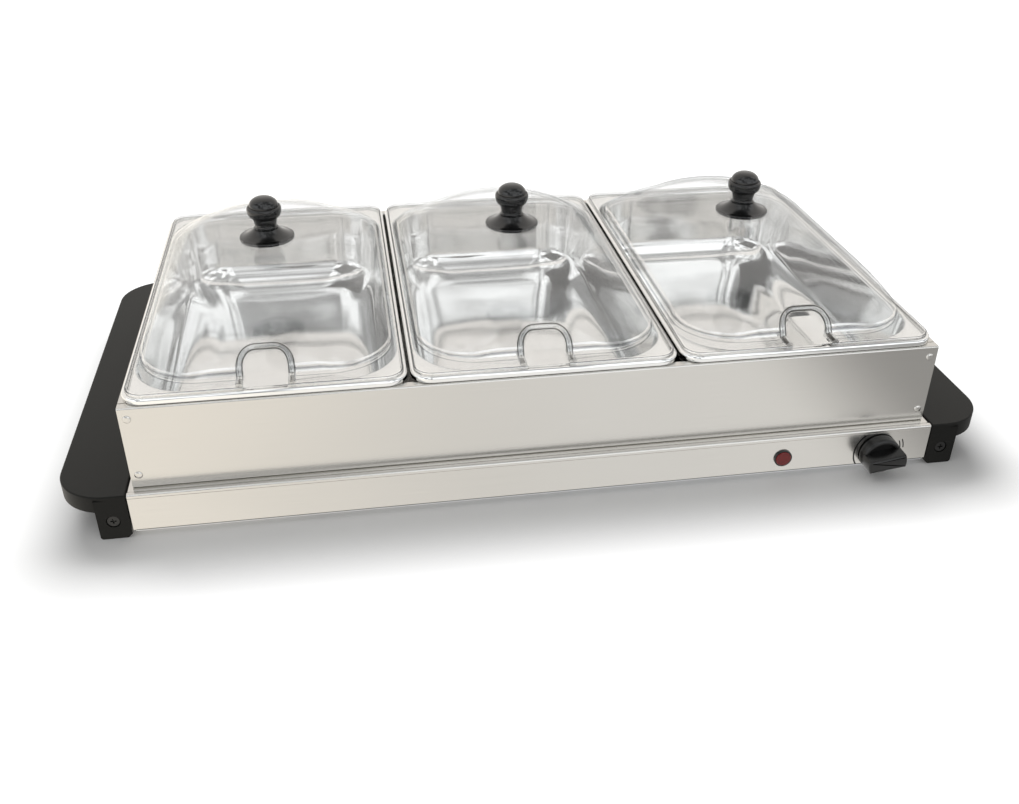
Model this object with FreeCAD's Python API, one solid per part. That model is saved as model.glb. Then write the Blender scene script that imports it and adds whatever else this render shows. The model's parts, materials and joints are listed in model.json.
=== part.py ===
# Electric buffet warmer: a heated tray with end handles, a lift-off serving frame,
# three lift-out pans and three clear lift-off lids with a spoon notch.
# Millimetres. X runs along the tray, Y to the back, Z up. The table is at Z = 0.
import FreeCAD, Part
import math
import os

# Heated tray
tray_end_margin = 3.0
tray_ledge = 9.0
tray_top = 32.2
tray_underside = 5.0
tray_sheet = 0.8
tray_bend = 0.6
bead_height = 0.9
bead_width = 3.2
bead_slope = 2.0
fascia_groove_drop = 2.6
fascia_groove = 0.35
return_flange = 11.0
bottom_plate_sheet = 0.8
bottom_plate_inset = 0.4
bottom_screw_head_radius = 3.4
bottom_screw_head_height = 1.8
bottom_screw_radius = 1.6
bottom_screw_length = 5.0
bottom_screw_count = 3

# End handles
handle_reach = 46.5
handle_corner_radius = 34.0
handle_wing_height = 12.0
handle_wall = 3.0
handle_edge_round = 1.0
handle_gap = 0.9
handle_rib_width = 2.4
handle_rib_depth = 4.0
handle_rib_count = 5
foot_width = 20.4
foot_length = 26.0
foot_corner_round = 2.0
foot_chamfer = 3.0
handle_screw_height = 13.6
handle_screw_inset = 10.4
handle_screw_head_radius = 3.9
handle_screw_head_height = 2.2
handle_screw_recess = 0.6
handle_screw_radius = 1.9
handle_screw_length = 14.0
bracket_sheet = 1.5
bracket_tab_setback = 9.0
bracket_tab_height = 11.0

# Heating stack under the tray top
spreader_end_margin = 37.5
spreader_side_margin = 40.5
spreader_sheet = 1.0
element_width = 9.0
element_sheet = 1.6
element_runs = 6
element_margin = 22.0
blanket_height = 8.0
blanket_inset = 4.0
shield_sheet = 0.6
stud_radius = 2.0
stud_inset = 12.0
stud_nut_flats = 7.0
stud_nut_height = 2.6
element_tab_width = 6.3
element_tab_sheet = 0.8
element_tab_drop = 17.0
element_tab_inset = 171.5
element_tab_spacing = 34.0

# Thermostat, its shaft and its knob
knob_inset = 37.5
knob_height = 15.0
knob_radius = 14.0
knob_proud = 18.2
knob_base_length = 7.5
knob_running_gap = 1.0
knob_rim_round = 2.4
knob_dish_radius = 11.0
knob_dish_depth = 2.4
knob_grip_width = 10.0
knob_grip_round = 1.0
knob_recess_depth = 3.2
knob_wall = 4.5
knob_rest_angle = 8.0
shaft_radius = 3.0
shaft_flat_depth = 1.5
shaft_fit = 0.05
thermostat_width = 36.0
thermostat_depth = 22.0
thermostat_height = 17.2
thermostat_corner = 1.5
bushing_radius = 5.0
bushing_wall_fit = 0.1
nut_flats = 13.0
nut_height = 2.2
spade_length = 8.0
spade_width = 6.3
spade_sheet = 0.8
spade_insets = (5.0, 15.0)
thermostat_bracket_sheet = 1.0
thermostat_bracket_leg = 10.0

# Pilot lamp
lamp_inset = 108.5
lamp_height = 16.5
lamp_barrel_radius = 5.0
lamp_barrel_length = 19.0
lamp_bezel_radius = 6.4
lamp_bezel_height = 1.2
lamp_lens_radius = 5.5
lamp_lens_height = 1.6
lamp_lens_seat = 0.7
lamp_lead_spacing = 6.0

# Mains inlet, terminals and internal wires
gland_inset = 67.5
gland_height = 15.0
gland_bore_radius = 3.6
gland_barrel_radius = 6.2
gland_flange_radius = 8.6
gland_flange = 3.0
gland_inner_length = 8.0
gland_hole_fit = 0.1
block_length = 33.0
block_depth = 13.0
block_height = 11.0
block_setback = 32.0
block_pitch = 10.0
block_screw_radius = 1.9
block_screw_sink = 2.0
fuse_radius = 1.9
fuse_length = 16.0
wire_radius = 1.2
wire_gap = 0.1
wire_bend_share = 0.45
earth_screw_radius = 2.0
earth_washer_radius = 4.6
earth_washer_height = 1.0
earth_screw_height = 8.0
earth_offset_x = 36.0

# Serving frame
frame_end_margin = 2.5
frame_side_margin = 1.0
frame_height = 60.0
frame_sheet = 0.8
frame_bend = 0.5
frame_end_flange = 7.0
frame_side_flange = 7.0
frame_foot_flange = 7.0
frame_tab = 14.0
frame_lip = 3.0
panel_gap = 0.1
rivet_head_radius = 2.7
rivet_head_height = 1.3
rivet_radius = 1.6
rivet_end_inset = 5.2
rivet_top_inset = 8.0
rivet_bottom_inset = 10.0
rivet_fit = 0.05

# Pans
pan_count = 3
pan_width = 178.0
pan_length = 311.0
pan_gap = 3.0
pan_corner_radius = 14.0
pan_sheet = 0.8
pan_rim_height = 4.8
pan_rim_side = 6.0
pan_rim_end = 7.5
pan_opening_radius = 39.0
pan_floor_gap = 4.0
pan_taper = 8.0
pan_floor_corner_radius = 31.0
pan_floor_round = 17.0
pan_edge_round = 2.0

# Clear lids
lid_edge_inset = 1.5
lid_wall = 2.0
lid_flange = 2.2
lid_base_side = 7.0
lid_base_end = 16.0
lid_base_radius = 41.0
lid_rise = 39.0
lid_flat_half_width = 22.0
lid_flat_half_length = 64.0
lid_shape_power = 1.5
lid_corner_growth = 56.0
lid_section_count = 8
lid_least_straight = 1.0
lid_rib_depth = 3.0
lid_rib_wall = 1.6
lid_rib_play = 0.8
notch_half_width = 14.0
notch_reach = 24.0
notch_corner_radius = 8.0
notch_bead_width = 5.0
notch_bead_height = 2.5

# Lid knobs
skirt_radius = 19.8
skirt_rim = 2.2
skirt_height = 8.0
skirt_neck_radius = 9.0
neck_ring_radius = 8.5
neck_ring_height = 0.9
neck_waist_radius = 7.6
neck_waist_height = 1.9
neck_top_radius = 8.8
neck_top_height = 8.0
head_radius = 12.4
head_height = 14.4
head_shoulder_height = 3.4
head_crown_radius = 9.4
head_crown_groove = 0.5
lid_knob_height = 23.4
lid_screw_radius = 2.0
lid_screw_fit = 0.2
lid_screw_depth = 9.0
lid_screw_head_radius = 3.8
lid_screw_head_height = 2.4
lid_washer_radius = 6.0
lid_washer_height = 1.0

# Places worked out from the sizes above: the frame fits the row of pans, the tray the frame
pan_pitch = pan_width + pan_gap
frame_length = pan_count * pan_pitch - pan_gap + 2 * frame_end_margin
frame_depth = pan_length + 2 * frame_side_margin
tray_length = frame_length + 2 * tray_end_margin
tray_depth = frame_depth + 2 * tray_ledge
half_length = tray_length / 2
half_depth = tray_depth / 2
front_inside = -half_depth + tray_sheet
rear_inside = half_depth - tray_sheet
knob_x = half_length - knob_inset
lamp_x = half_length - lamp_inset
gland_x = half_length - gland_inset
element_tab_x = half_length - element_tab_inset
spreader_length = tray_length - 2 * spreader_end_margin
spreader_depth = tray_depth - 2 * spreader_side_margin
bead_top = tray_top + bead_height
top_inside = tray_top - tray_sheet
plate_floor = tray_underside
handle_top = bead_top
wing_underside = handle_top - handle_wing_height
spreader_bottom = top_inside - spreader_sheet
element_bottom = spreader_bottom - element_sheet
blanket_bottom = element_bottom - blanket_height
shield_bottom = blanket_bottom - shield_sheet
wire_height = shield_bottom - fuse_radius - wire_gap
thermostat_back = front_inside + thermostat_depth
element_tab_y = -spreader_depth / 2 + element_margin
element_tab_bottom = element_bottom - element_tab_drop
block_y = half_depth - block_setback
frame_bottom = tray_top
frame_top = frame_bottom + frame_height
pan_rim_top = frame_top + pan_rim_height
pan_depth = pan_rim_top - tray_top - pan_floor_gap - pan_sheet
opening_half_width = pan_width / 2 - pan_rim_side
opening_half_length = pan_length / 2 - pan_rim_end
lid_bottom = pan_rim_top
lid_base = lid_bottom + lid_flange
lid_top = lid_bottom + lid_rise
lid_half_width = pan_width / 2 - lid_edge_inset
lid_half_length = pan_length / 2 - lid_edge_inset
dome_half_width = pan_width / 2 - lid_base_side
dome_half_length = pan_length / 2 - lid_base_end
knob_back = -half_depth - knob_running_gap
knob_front = -half_depth - knob_proud
gland_back = half_depth + gland_flange
plan_centre_y = (knob_front + gland_back) / 2
sides = {"left": -1, "right": 1}
pan_names = ["left", "middle", "right"]

UP = FreeCAD.Vector(0, 0, 1)
RIGHT = FreeCAD.Vector(1, 0, 0)
BACK = FreeCAD.Vector(0, 1, 0)


def at(x, y, z):
    return FreeCAD.Vector(x, y, z)


def block(low, high):
    """A box between two opposite corners."""
    size = high - low
    return Part.makeBox(size.x, size.y, size.z, low)


def rod(radius, start, end):
    """A cylinder from one point to another."""
    way = end - start
    return Part.makeCylinder(radius, way.Length, start, way)


def ring(outer, inner, start, end):
    """A tube from one point to another."""
    return rod(outer, start, end).cut(rod(inner, start, end))


def hexagon(flats, start, end):
    """A hexagonal bar, such as a nut blank, from one point to another."""
    way = end - start
    across = way.cross(UP) if abs(way.z) < way.Length / 2 else RIGHT
    across = FreeCAD.Vector(across).normalize() * (flats / math.sqrt(3))
    turn = FreeCAD.Rotation(way, 60)
    corners = [start + across]
    for _ in range(5):
        across = turn.multVec(across)
        corners.append(start + across)
    return Part.Face(Part.makePolygon(corners + corners[:1])).extrude(way)


def rounded_wire(corners, closed=True):
    """A wire through (point, radius) corners, each rounded by a tangent arc."""
    count = len(corners)
    stops = []
    for index, (corner, radius) in enumerate(corners):
        loose_end = not closed and index in (0, count - 1)
        if loose_end or radius <= 0:
            stops.append((corner, None, corner))
            continue
        back = (corners[index - 1][0] - corner).normalize()
        ahead = (corners[(index + 1) % count][0] - corner).normalize()
        half = back.getAngle(ahead) / 2
        reach = radius / math.tan(half)
        inward = FreeCAD.Vector(back + ahead).normalize()
        middle = corner + inward * (radius / math.sin(half) - radius)
        stops.append((corner + back * reach, middle, corner + ahead * reach))
    edges = []
    for index, (start, middle, end) in enumerate(stops):
        if middle is not None:
            edges.append(Part.Arc(start, middle, end).toShape())
        if closed or index < count - 1:
            following = stops[(index + 1) % count][0]
            if end.distanceToPoint(following) > 1e-6:
                edges.append(Part.LineSegment(end, following).toShape())
    return Part.Wire(edges)


def rounded_rectangle(half_x, half_y, radius, z, centre_x=0.0, centre_y=0.0):
    """A level rectangle with round corners, as a wire."""
    signs = [(-1, -1), (1, -1), (1, 1), (-1, 1)]
    corners = []
    for sx, sy in signs:
        corner = at(centre_x + sx * half_x, centre_y + sy * half_y, z)
        corners.append((corner, radius))
    return rounded_wire(corners)


def rounded_slab(half_x, half_y, radius, low, high, centre_x=0.0):
    """A level slab with round corners between two heights."""
    outline = rounded_rectangle(half_x, half_y, radius, low, centre_x)
    return Part.Face(outline).extrude(UP * (high - low))


def mitred(path, distance):
    """An open path of (u, v) points moved to its left, with its corners kept sharp."""
    last = len(path) - 2
    ways = []
    for here, there in zip(path, path[1:]):
        length = math.dist(here, there)
        ways.append(((there[0] - here[0]) / length, (there[1] - here[1]) / length))
    moved = []
    for index, (u, v) in enumerate(path):
        before = ways[max(index - 1, 0)]
        after = ways[min(index, last)]
        share = distance / (1 + before[0] * after[0] + before[1] * after[1])
        moved.append((u - (before[1] + after[1]) * share, v + (before[0] + after[0]) * share))
    return moved


def bent_strip(path, right, left, bend, place, sweep):
    """A strip folded along a path, from right of it to left of it, and swept.

    The path is a list of (u, v) points that place turns into space, bend is the
    radius inside each fold, and sweep is the way along which the section runs."""
    width = left - right
    right_edge = []
    left_edge = []
    rights = mitred(path, right)
    lefts = mitred(path, left)
    for index in range(len(path)):
        radii = (0, 0)
        if 0 < index < len(path) - 1:
            before, here, after = path[index - 1:index + 2]
            cross = ((here[0] - before[0]) * (after[1] - here[1])
                     - (here[1] - before[1]) * (after[0] - here[0]))
            radii = (bend + width, bend) if cross > 0 else (bend, bend + width)
        right_edge.append((place(*rights[index]), radii[0]))
        left_edge.append((place(*lefts[index]), radii[1]))
    return Part.Face(rounded_wire(right_edge + left_edge[::-1])).extrude(sweep)


def bent_sheet(path, sheet, bend, place, sweep):
    """A folded sheet: the path is one face, and the sheet lies on the path's left."""
    return bent_strip(path, 0, sheet, bend, place, sweep)


def turned(profile, centre):
    """A solid turned about the vertical through centre from (radius, height) points."""
    points = [centre + at(radius, 0, height) for radius, height in profile]
    outline = Part.makePolygon(points + points[:1])
    return Part.Face(outline).revolve(centre, UP, 360)


def union(shapes):
    """The shapes joined into one solid."""
    whole = shapes[0].multiFuse(shapes[1:]) if len(shapes) > 1 else shapes[0]
    return whole.removeSplitter()


def group(shapes):
    """Separate solids kept together in one node."""
    return Part.makeCompound(shapes)


def level_edges(shape, height):
    """The edges that lie wholly at one height."""
    found = []
    for edge in shape.Edges:
        box = edge.BoundBox
        if abs(box.ZMin - height) < 1e-6 and abs(box.ZMax - height) < 1e-6:
            found.append(edge)
    return found


def wire_solid(points):
    """A round wire along straight runs joined by tangent arcs."""
    corners = [(points[0], 0)]
    for before, corner, after in zip(points, points[1:], points[2:]):
        back = before - corner
        ahead = after - corner
        turn = math.pi - back.getAngle(ahead)
        shorter = min(back.Length, ahead.Length)
        radius = wire_bend_share * shorter / math.tan(turn / 2)
        corners.append((corner, radius))
    corners.append((points[-1], 0))
    path = rounded_wire(corners, closed=False)
    start = Part.Circle(points[0], points[1] - points[0], wire_radius).toShape()
    return path.makePipeShell([Part.Wire([start])], True, True)


def export(name, shape):
    """Write one node, with the origin at the middle of the whole object's plan."""
    placed = shape.copy()
    placed.translate(at(0, -plan_centre_y, 0))
    placed.exportStep("parts/" + name + ".step")


# Heated tray

def tray_profile():
    """The folded section of the tray from the rear return flange to the front one."""
    side = [
        (half_depth - return_flange, tray_underside),
        (half_depth, tray_underside),
        (half_depth, bead_top),
        (half_depth - bead_width, bead_top),
        (half_depth - bead_width - bead_slope, tray_top),
    ]
    return side + [(-y, z) for y, z in side[::-1]]


def bottom_screw_places():
    """Where the bottom plate is screwed to the two return flanges."""
    spacing = tray_length / bottom_screw_count
    y = half_depth - bottom_plate_inset - return_flange / 2
    for index in range(bottom_screw_count):
        x = (index - (bottom_screw_count - 1) / 2) * spacing
        yield x, -y
        yield x, y


def warming_plate():
    folded = bent_sheet(
        tray_profile(), tray_sheet, tray_bend,
        lambda y, z: at(-half_length, y, z), RIGHT * tray_length,
    )
    holes = [
        rod(bushing_radius + bushing_wall_fit, at(knob_x, -half_depth - 1, knob_height),
            at(knob_x, front_inside + 1, knob_height)),
        rod(lamp_barrel_radius + bushing_wall_fit, at(lamp_x, -half_depth - 1, lamp_height),
            at(lamp_x, front_inside + 1, lamp_height)),
        rod(gland_barrel_radius + gland_hole_fit, at(gland_x, rear_inside - 1, gland_height),
            at(gland_x, half_depth + 1, gland_height)),
    ]
    for x, y in bottom_screw_places():
        holes.append(rod(bottom_screw_radius, at(x, y, tray_underside - 1), at(x, y, tray_underside + 2)))
    groove_top = bead_top - fascia_groove_drop
    for side in (-1, 1):
        outer = side * half_depth
        near, far = sorted((outer - side * fascia_groove, outer + side))
        holes.append(block(at(-half_length, near, groove_top - fascia_groove),
                           at(half_length, far, groove_top)))
    return folded.cut(holes)


def bottom_plate():
    depth = half_depth - bottom_plate_inset
    length = half_length - bracket_sheet
    low = at(-length, -depth, tray_underside - bottom_plate_sheet)
    plate = block(low, at(length, depth, tray_underside))
    holes = [rod(bottom_screw_radius, at(x, y, 0), at(x, y, tray_underside + 1))
             for x, y in bottom_screw_places()]
    earth = earth_place()
    holes.append(rod(earth_screw_radius, at(earth.x, earth.y, 0), at(earth.x, earth.y, tray_underside + 1)))
    return plate.cut(holes)


def bottom_plate_screws():
    screws = []
    seat = tray_underside - bottom_plate_sheet
    for x, y in bottom_screw_places():
        head = rod(bottom_screw_head_radius, at(x, y, seat - bottom_screw_head_height), at(x, y, seat))
        shank = rod(bottom_screw_radius, at(x, y, seat), at(x, y, seat + bottom_screw_length))
        screws.append(union([head, shank]))
    return group(screws)


# End handles: the foot blocks hold steel tabs that the tray's end brackets reach into them

handle_inside = half_length + handle_gap
handle_outside = half_length + handle_reach
foot_outside = handle_inside + foot_width
screw_x = handle_inside + handle_screw_inset
tab_front = half_depth - bracket_tab_setback
tab_low = handle_screw_height - bracket_tab_height / 2
tab_high = handle_screw_height + bracket_tab_height / 2


def end_bracket(side):
    """The steel plate in the tray's end, with a tab into each foot of the handle."""
    inner_depth = half_depth - tray_sheet - panel_gap
    base = tray_underside + tray_sheet + tray_bend
    x_in = side * (half_length - bracket_sheet)
    x_out = side * half_length
    low, high = sorted((x_in, x_out))
    plate = block(at(low, -inner_depth, base), at(high, inner_depth, top_inside - panel_gap))
    tabs = [plate]
    for end in (-1, 1):
        near, far = sorted((x_in, side * (screw_x + handle_screw_inset / 2)))
        y_low, y_high = sorted((end * tab_front, end * (tab_front - bracket_sheet)))
        tab = block(at(near, y_low, tab_low), at(far, y_high, tab_high))
        hole = rod(handle_screw_radius, at(side * screw_x, y_low - 1, handle_screw_height),
                   at(side * screw_x, y_high + 1, handle_screw_height))
        tabs.append(tab.cut(hole))
    return union(tabs)


def handle(side):
    """A black moulded wing with a skirt, ribs, an end wall and a foot at each end."""
    straight = handle_corner_radius
    plan = [
        (at(side * handle_inside, -half_depth, wing_underside), 0),
        (at(side * handle_outside, -half_depth, wing_underside), straight),
        (at(side * handle_outside, half_depth, wing_underside), straight),
        (at(side * handle_inside, half_depth, wing_underside), 0),
    ]
    wing = Part.Face(rounded_wire(plan)).extrude(UP * handle_wing_height)
    wing = wing.makeFillet(handle_edge_round, level_edges(wing, handle_top))
    hollow_radius = handle_corner_radius - handle_wall
    inner_plan = [
        (at(side * (handle_inside + handle_wall), -half_depth + handle_wall, wing_underside), 0),
        (at(side * (handle_outside - handle_wall), -half_depth + handle_wall, wing_underside), hollow_radius),
        (at(side * (handle_outside - handle_wall), half_depth - handle_wall, wing_underside), hollow_radius),
        (at(side * (handle_inside + handle_wall), half_depth - handle_wall, wing_underside), 0),
    ]
    hollow = Part.Face(rounded_wire(inner_plan)).extrude(UP * (handle_wing_height - handle_wall))
    pieces = [wing.cut(hollow)]
    near, far = sorted((side * handle_inside, side * (handle_inside + handle_wall)))
    pieces.append(block(at(near, -half_depth, tray_underside), at(far, half_depth, handle_top - handle_wall)))
    rib_low, rib_high = sorted((side * handle_inside, side * (handle_outside - handle_wall / 2)))
    rib_span = tray_depth - 2 * foot_length
    for index in range(handle_rib_count):
        y = ((index + 1) / (handle_rib_count + 1) - 0.5) * rib_span
        rib = block(at(rib_low, y - handle_rib_width / 2, handle_top - handle_wall - handle_rib_depth),
                    at(rib_high, y + handle_rib_width / 2, handle_top - handle_wall / 2))
        pieces.append(rib)
    cuts = []
    for end in (-1, 1):
        pieces.append(foot(side, end))
        cuts += foot_cuts(side, end)
    return union(pieces).cut(cuts)


def foot(side, end):
    """One foot block, with its outer lower corner rounded and its inner one chamfered."""
    outline = [
        (at(side * handle_inside, end * half_depth, foot_chamfer), 0),
        (at(side * (handle_inside + foot_chamfer), end * half_depth, 0), 0),
        (at(side * foot_outside, end * half_depth, 0), foot_corner_round),
        (at(side * foot_outside, end * half_depth, handle_top - handle_wall), 0),
        (at(side * handle_inside, end * half_depth, handle_top - handle_wall), 0),
    ]
    return Part.Face(rounded_wire(outline)).extrude(BACK * (-end * foot_length))


def foot_cuts(side, end):
    """The screw's counterbore and shank hole, and the pocket for the bracket's tab."""
    x = side * screw_x
    face = end * half_depth
    seat = face - end * (handle_screw_recess + handle_screw_head_height)
    counterbore = rod(handle_screw_head_radius + handle_screw_recess,
                      at(x, face + end, handle_screw_height), at(x, seat, handle_screw_height))
    deepest = seat - end * (handle_screw_length + 1)
    shank = rod(handle_screw_radius, at(x, seat, handle_screw_height), at(x, deepest, handle_screw_height))
    near, far = sorted((side * (handle_inside - 1), side * (screw_x + handle_screw_inset / 2 + panel_gap)))
    y_a = end * (tab_front + panel_gap)
    y_b = end * (tab_front - bracket_sheet - panel_gap)
    y_low, y_high = sorted((y_a, y_b))
    pocket = block(at(near, y_low, tab_low - panel_gap), at(far, y_high, tab_high + panel_gap))
    return [counterbore, shank, pocket]


def handle_screws():
    """Cross-head screws along Y, one in the front and one in the back of each handle."""
    screws = []
    for side in (-1, 1):
        for end in (-1, 1):
            x = side * screw_x
            head_face = end * (half_depth - handle_screw_recess)
            seat = head_face - end * handle_screw_head_height
            tip = seat - end * handle_screw_length
            head = rod(handle_screw_head_radius, at(x, head_face, handle_screw_height),
                       at(x, seat, handle_screw_height))
            shank = rod(handle_screw_radius, at(x, seat, handle_screw_height),
                        at(x, tip, handle_screw_height))
            screw = union([head, shank])
            arm = handle_screw_head_radius / 2
            slot = handle_screw_head_radius / 8
            y_low, y_high = sorted((head_face - end * handle_screw_head_height / 2, head_face + end))
            cross = [
                block(at(x - arm, y_low, handle_screw_height - slot),
                      at(x + arm, y_high, handle_screw_height + slot)),
                block(at(x - slot, y_low, handle_screw_height - arm),
                      at(x + slot, y_high, handle_screw_height + arm)),
            ]
            screws.append(screw.cut(cross))
    return group(screws)


# Heating stack

def stud_places():
    x = spreader_length / 2 - stud_inset
    y = spreader_depth / 2 - stud_inset
    return [(-x, -y), (x, -y), (x, y), (-x, y)]


def stud_holes(low, high):
    return [rod(stud_radius, at(x, y, low - 1), at(x, y, high + 1)) for x, y in stud_places()]


def tab_places():
    return [element_tab_x - element_tab_spacing / 2, element_tab_x + element_tab_spacing / 2]


def tab_holes(low, high):
    """Slots that the element's two terminal tabs pass through."""
    slots = []
    for x in tab_places():
        slots.append(block(at(x - element_tab_width / 2, element_tab_y - element_tab_sheet / 2, low - 1),
                           at(x + element_tab_width / 2, element_tab_y + element_tab_sheet / 2, high + 1)))
    return slots


def stack_sheet(half_x, half_y, low, high, holes):
    return block(at(-half_x, -half_y, low), at(half_x, half_y, high)).cut(holes)


def heat_spreader():
    half_x = spreader_length / 2
    half_y = spreader_depth / 2
    holes = stud_holes(spreader_bottom, top_inside)
    return stack_sheet(half_x, half_y, spreader_bottom, top_inside, holes)


def heating_element():
    """A flat ribbon that runs to and fro in half-round turns, back to its own start."""
    pitch = (spreader_depth - 2 * element_margin) / (element_runs - 1)
    reach = spreader_length / 2 - element_margin
    return_x = reach + 1.5 * element_width
    gap_low = tab_places()[0] + element_tab_width / 2
    gap_high = tab_places()[1] - element_tab_width / 2
    path = [(gap_high, element_tab_y), (return_x, element_tab_y)]
    for run in range(element_runs - 1, 0, -1):
        y = element_tab_y + run * pitch
        ends = [return_x if run == element_runs - 1 else reach, -reach]
        if run % 2 == 0:
            ends.reverse()
        path += [(x, y) for x in ends]
    path += [(-reach, element_tab_y), (gap_low, element_tab_y)]
    return bent_strip(
        path, -element_width / 2, element_width / 2, (pitch - element_width) / 2,
        lambda x, y: at(x, y, element_bottom), UP * element_sheet,
    )


def element_terminals():
    """Two tabs that hang from the ribbon through the blanket and the shield."""
    tabs = []
    for x in tab_places():
        low = at(x - element_tab_width / 2, element_tab_y - element_tab_sheet / 2, element_tab_bottom)
        high = at(x + element_tab_width / 2, element_tab_y + element_tab_sheet / 2, element_bottom)
        tabs.append(block(low, high))
    return group(tabs)


def insulation_blanket():
    half_x = spreader_length / 2 - blanket_inset
    half_y = spreader_depth / 2 - blanket_inset
    holes = stud_holes(blanket_bottom, element_bottom) + tab_holes(blanket_bottom, element_bottom)
    return stack_sheet(half_x, half_y, blanket_bottom, element_bottom, holes)


def heat_shield():
    half_x = spreader_length / 2
    half_y = spreader_depth / 2
    holes = stud_holes(shield_bottom, blanket_bottom) + tab_holes(shield_bottom, blanket_bottom)
    return stack_sheet(half_x, half_y, shield_bottom, blanket_bottom, holes)


def shield_studs():
    """Studs welded under the tray top, each with the nut that holds the stack up."""
    studs = []
    nut_low = shield_bottom - stud_nut_height
    for x, y in stud_places():
        stud = rod(stud_radius, at(x, y, nut_low - stud_radius), at(x, y, top_inside))
        nut = hexagon(stud_nut_flats, at(x, y, nut_low), at(x, y, shield_bottom))
        studs.append(union([stud, nut]))
    return group(studs)


# Thermostat

def spade_end(index):
    """The end of the live blade (0) or the switched blade (1), where its wire begins."""
    return at(knob_x - spade_insets[index], thermostat_back + spade_length, knob_height)


def thermostat_body():
    low = at(knob_x - thermostat_width / 2, front_inside, knob_height - thermostat_height / 2)
    high = at(knob_x + thermostat_width / 2, thermostat_back, knob_height + thermostat_height / 2)
    body = block(low, high)
    upright = [edge for edge in body.Edges if edge.BoundBox.ZLength > thermostat_height / 2]
    body = body.makeFillet(thermostat_corner, upright)
    bushing = rod(bushing_radius, at(knob_x, front_inside, knob_height),
                  at(knob_x, -half_depth - nut_height - 1, knob_height))
    bore = rod(shaft_radius + shaft_fit, at(knob_x, -half_depth - knob_proud, knob_height),
               at(knob_x, front_inside + thermostat_depth / 2, knob_height))
    return union([body, bushing]).cut(bore)


def thermostat_terminals():
    """Two flat blades that stand out of the thermostat's back."""
    blades = []
    for index in range(len(spade_insets)):
        end = spade_end(index)
        blades.append(block(at(end.x - spade_sheet / 2, thermostat_back, end.z - spade_width / 2),
                            at(end.x + spade_sheet / 2, end.y, end.z + spade_width / 2)))
    return group(blades)


def thermostat_bracket():
    """An angle behind the thermostat that carries the plate's heat to it."""
    low_x = knob_x
    high_x = knob_x + thermostat_width / 2 - thermostat_corner
    upright = block(at(low_x, thermostat_back, knob_height - thermostat_height / 2),
                    at(high_x, thermostat_back + thermostat_bracket_sheet, top_inside))
    leg = block(at(low_x, thermostat_back, top_inside - thermostat_bracket_sheet),
                at(high_x, thermostat_back + thermostat_bracket_leg, top_inside))
    return union([upright, leg])


def thermostat_nut():
    back = at(knob_x, -half_depth, knob_height)
    front = at(knob_x, -half_depth - nut_height, knob_height)
    return hexagon(nut_flats, back, front).cut(rod(bushing_radius, back, front))


def shaft_solid(radius, flat_depth, front, back):
    """A round shaft with a flat along its front half, for a D-shaped bore."""
    shaft = rod(radius, at(knob_x, front, knob_height), at(knob_x, back, knob_height))
    flat_end = -half_depth - nut_height - 2
    flat = block(at(knob_x - radius, front - 1, knob_height + radius - flat_depth),
                 at(knob_x + radius, flat_end, knob_height + radius + 1))
    return shaft.cut(flat)


def turned_to_rest(shape):
    """The knob's parts turned to where its pointer stands, to the right and a little up."""
    shape.rotate(at(knob_x, 0, knob_height), BACK, -knob_rest_angle)
    return shape


def thermostat_shaft():
    back = front_inside + thermostat_depth / 2 - knob_running_gap
    return turned_to_rest(shaft_solid(shaft_radius, shaft_flat_depth, knob_front + knob_wall, back))


def control_knob():
    """A dished round base with a raised grip bar across it, hollow behind over the nut."""
    base_front = knob_back - knob_base_length
    base = rod(knob_radius, at(knob_x, knob_back, knob_height), at(knob_x, base_front, knob_height))
    rim = [edge for edge in base.Edges if edge.BoundBox.YLength < 1e-6
           and abs(edge.BoundBox.YMin - base_front) < 1e-6]
    base = base.makeFillet(knob_rim_round, rim)
    dish = rod(knob_dish_radius, at(knob_x, base_front, knob_height),
               at(knob_x, base_front + knob_dish_depth, knob_height))
    bar = block(at(knob_x - knob_radius, knob_front, knob_height - knob_grip_width / 2),
                at(knob_x + knob_radius, knob_back, knob_height + knob_grip_width / 2))
    whole_back = at(knob_x, knob_back, knob_height)
    bar = bar.common(rod(knob_radius, whole_back, at(knob_x, knob_front, knob_height)))
    front_edges = [edge for edge in bar.Edges if abs(edge.BoundBox.YMax - knob_front) < 1e-6]
    bar = bar.makeFillet(knob_grip_round, front_edges)
    recess_radius = nut_flats / math.sqrt(3) + knob_running_gap
    recess = rod(recess_radius, at(knob_x, knob_back + 1, knob_height),
                 at(knob_x, knob_back - knob_recess_depth, knob_height))
    bore_end = knob_front + knob_wall - shaft_fit
    bore = shaft_solid(shaft_radius + shaft_fit, shaft_flat_depth, bore_end, knob_back)
    return turned_to_rest(union([base.cut(dish), bar]).cut([recess, bore]))


# Pilot lamp

def lamp_at(y):
    return at(lamp_x, y, lamp_height)


def pilot_lamp_body():
    """The black holder: a barrel through the fascia and a bezel in front of it."""
    barrel = rod(lamp_barrel_radius, lamp_at(-half_depth), lamp_at(-half_depth + lamp_barrel_length))
    bezel = rod(lamp_bezel_radius, lamp_at(-half_depth - lamp_bezel_height), lamp_at(-half_depth))
    seat = rod(lamp_lens_radius, lamp_at(-half_depth - lamp_bezel_height - 1),
               lamp_at(-half_depth - lamp_bezel_height + lamp_lens_seat))
    return union([barrel, bezel]).cut(seat)


def pilot_lens():
    """A shallow red dome seated in the bezel."""
    back = -half_depth - lamp_bezel_height + lamp_lens_seat
    lens = rod(lamp_lens_radius, lamp_at(back - lamp_lens_height), lamp_at(back))
    front = [edge for edge in lens.Edges if abs(edge.BoundBox.YMax - (back - lamp_lens_height)) < 1e-6]
    return lens.makeFillet(lamp_lens_height / 2, front)


# Mains inlet, terminals and internal wires

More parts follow.
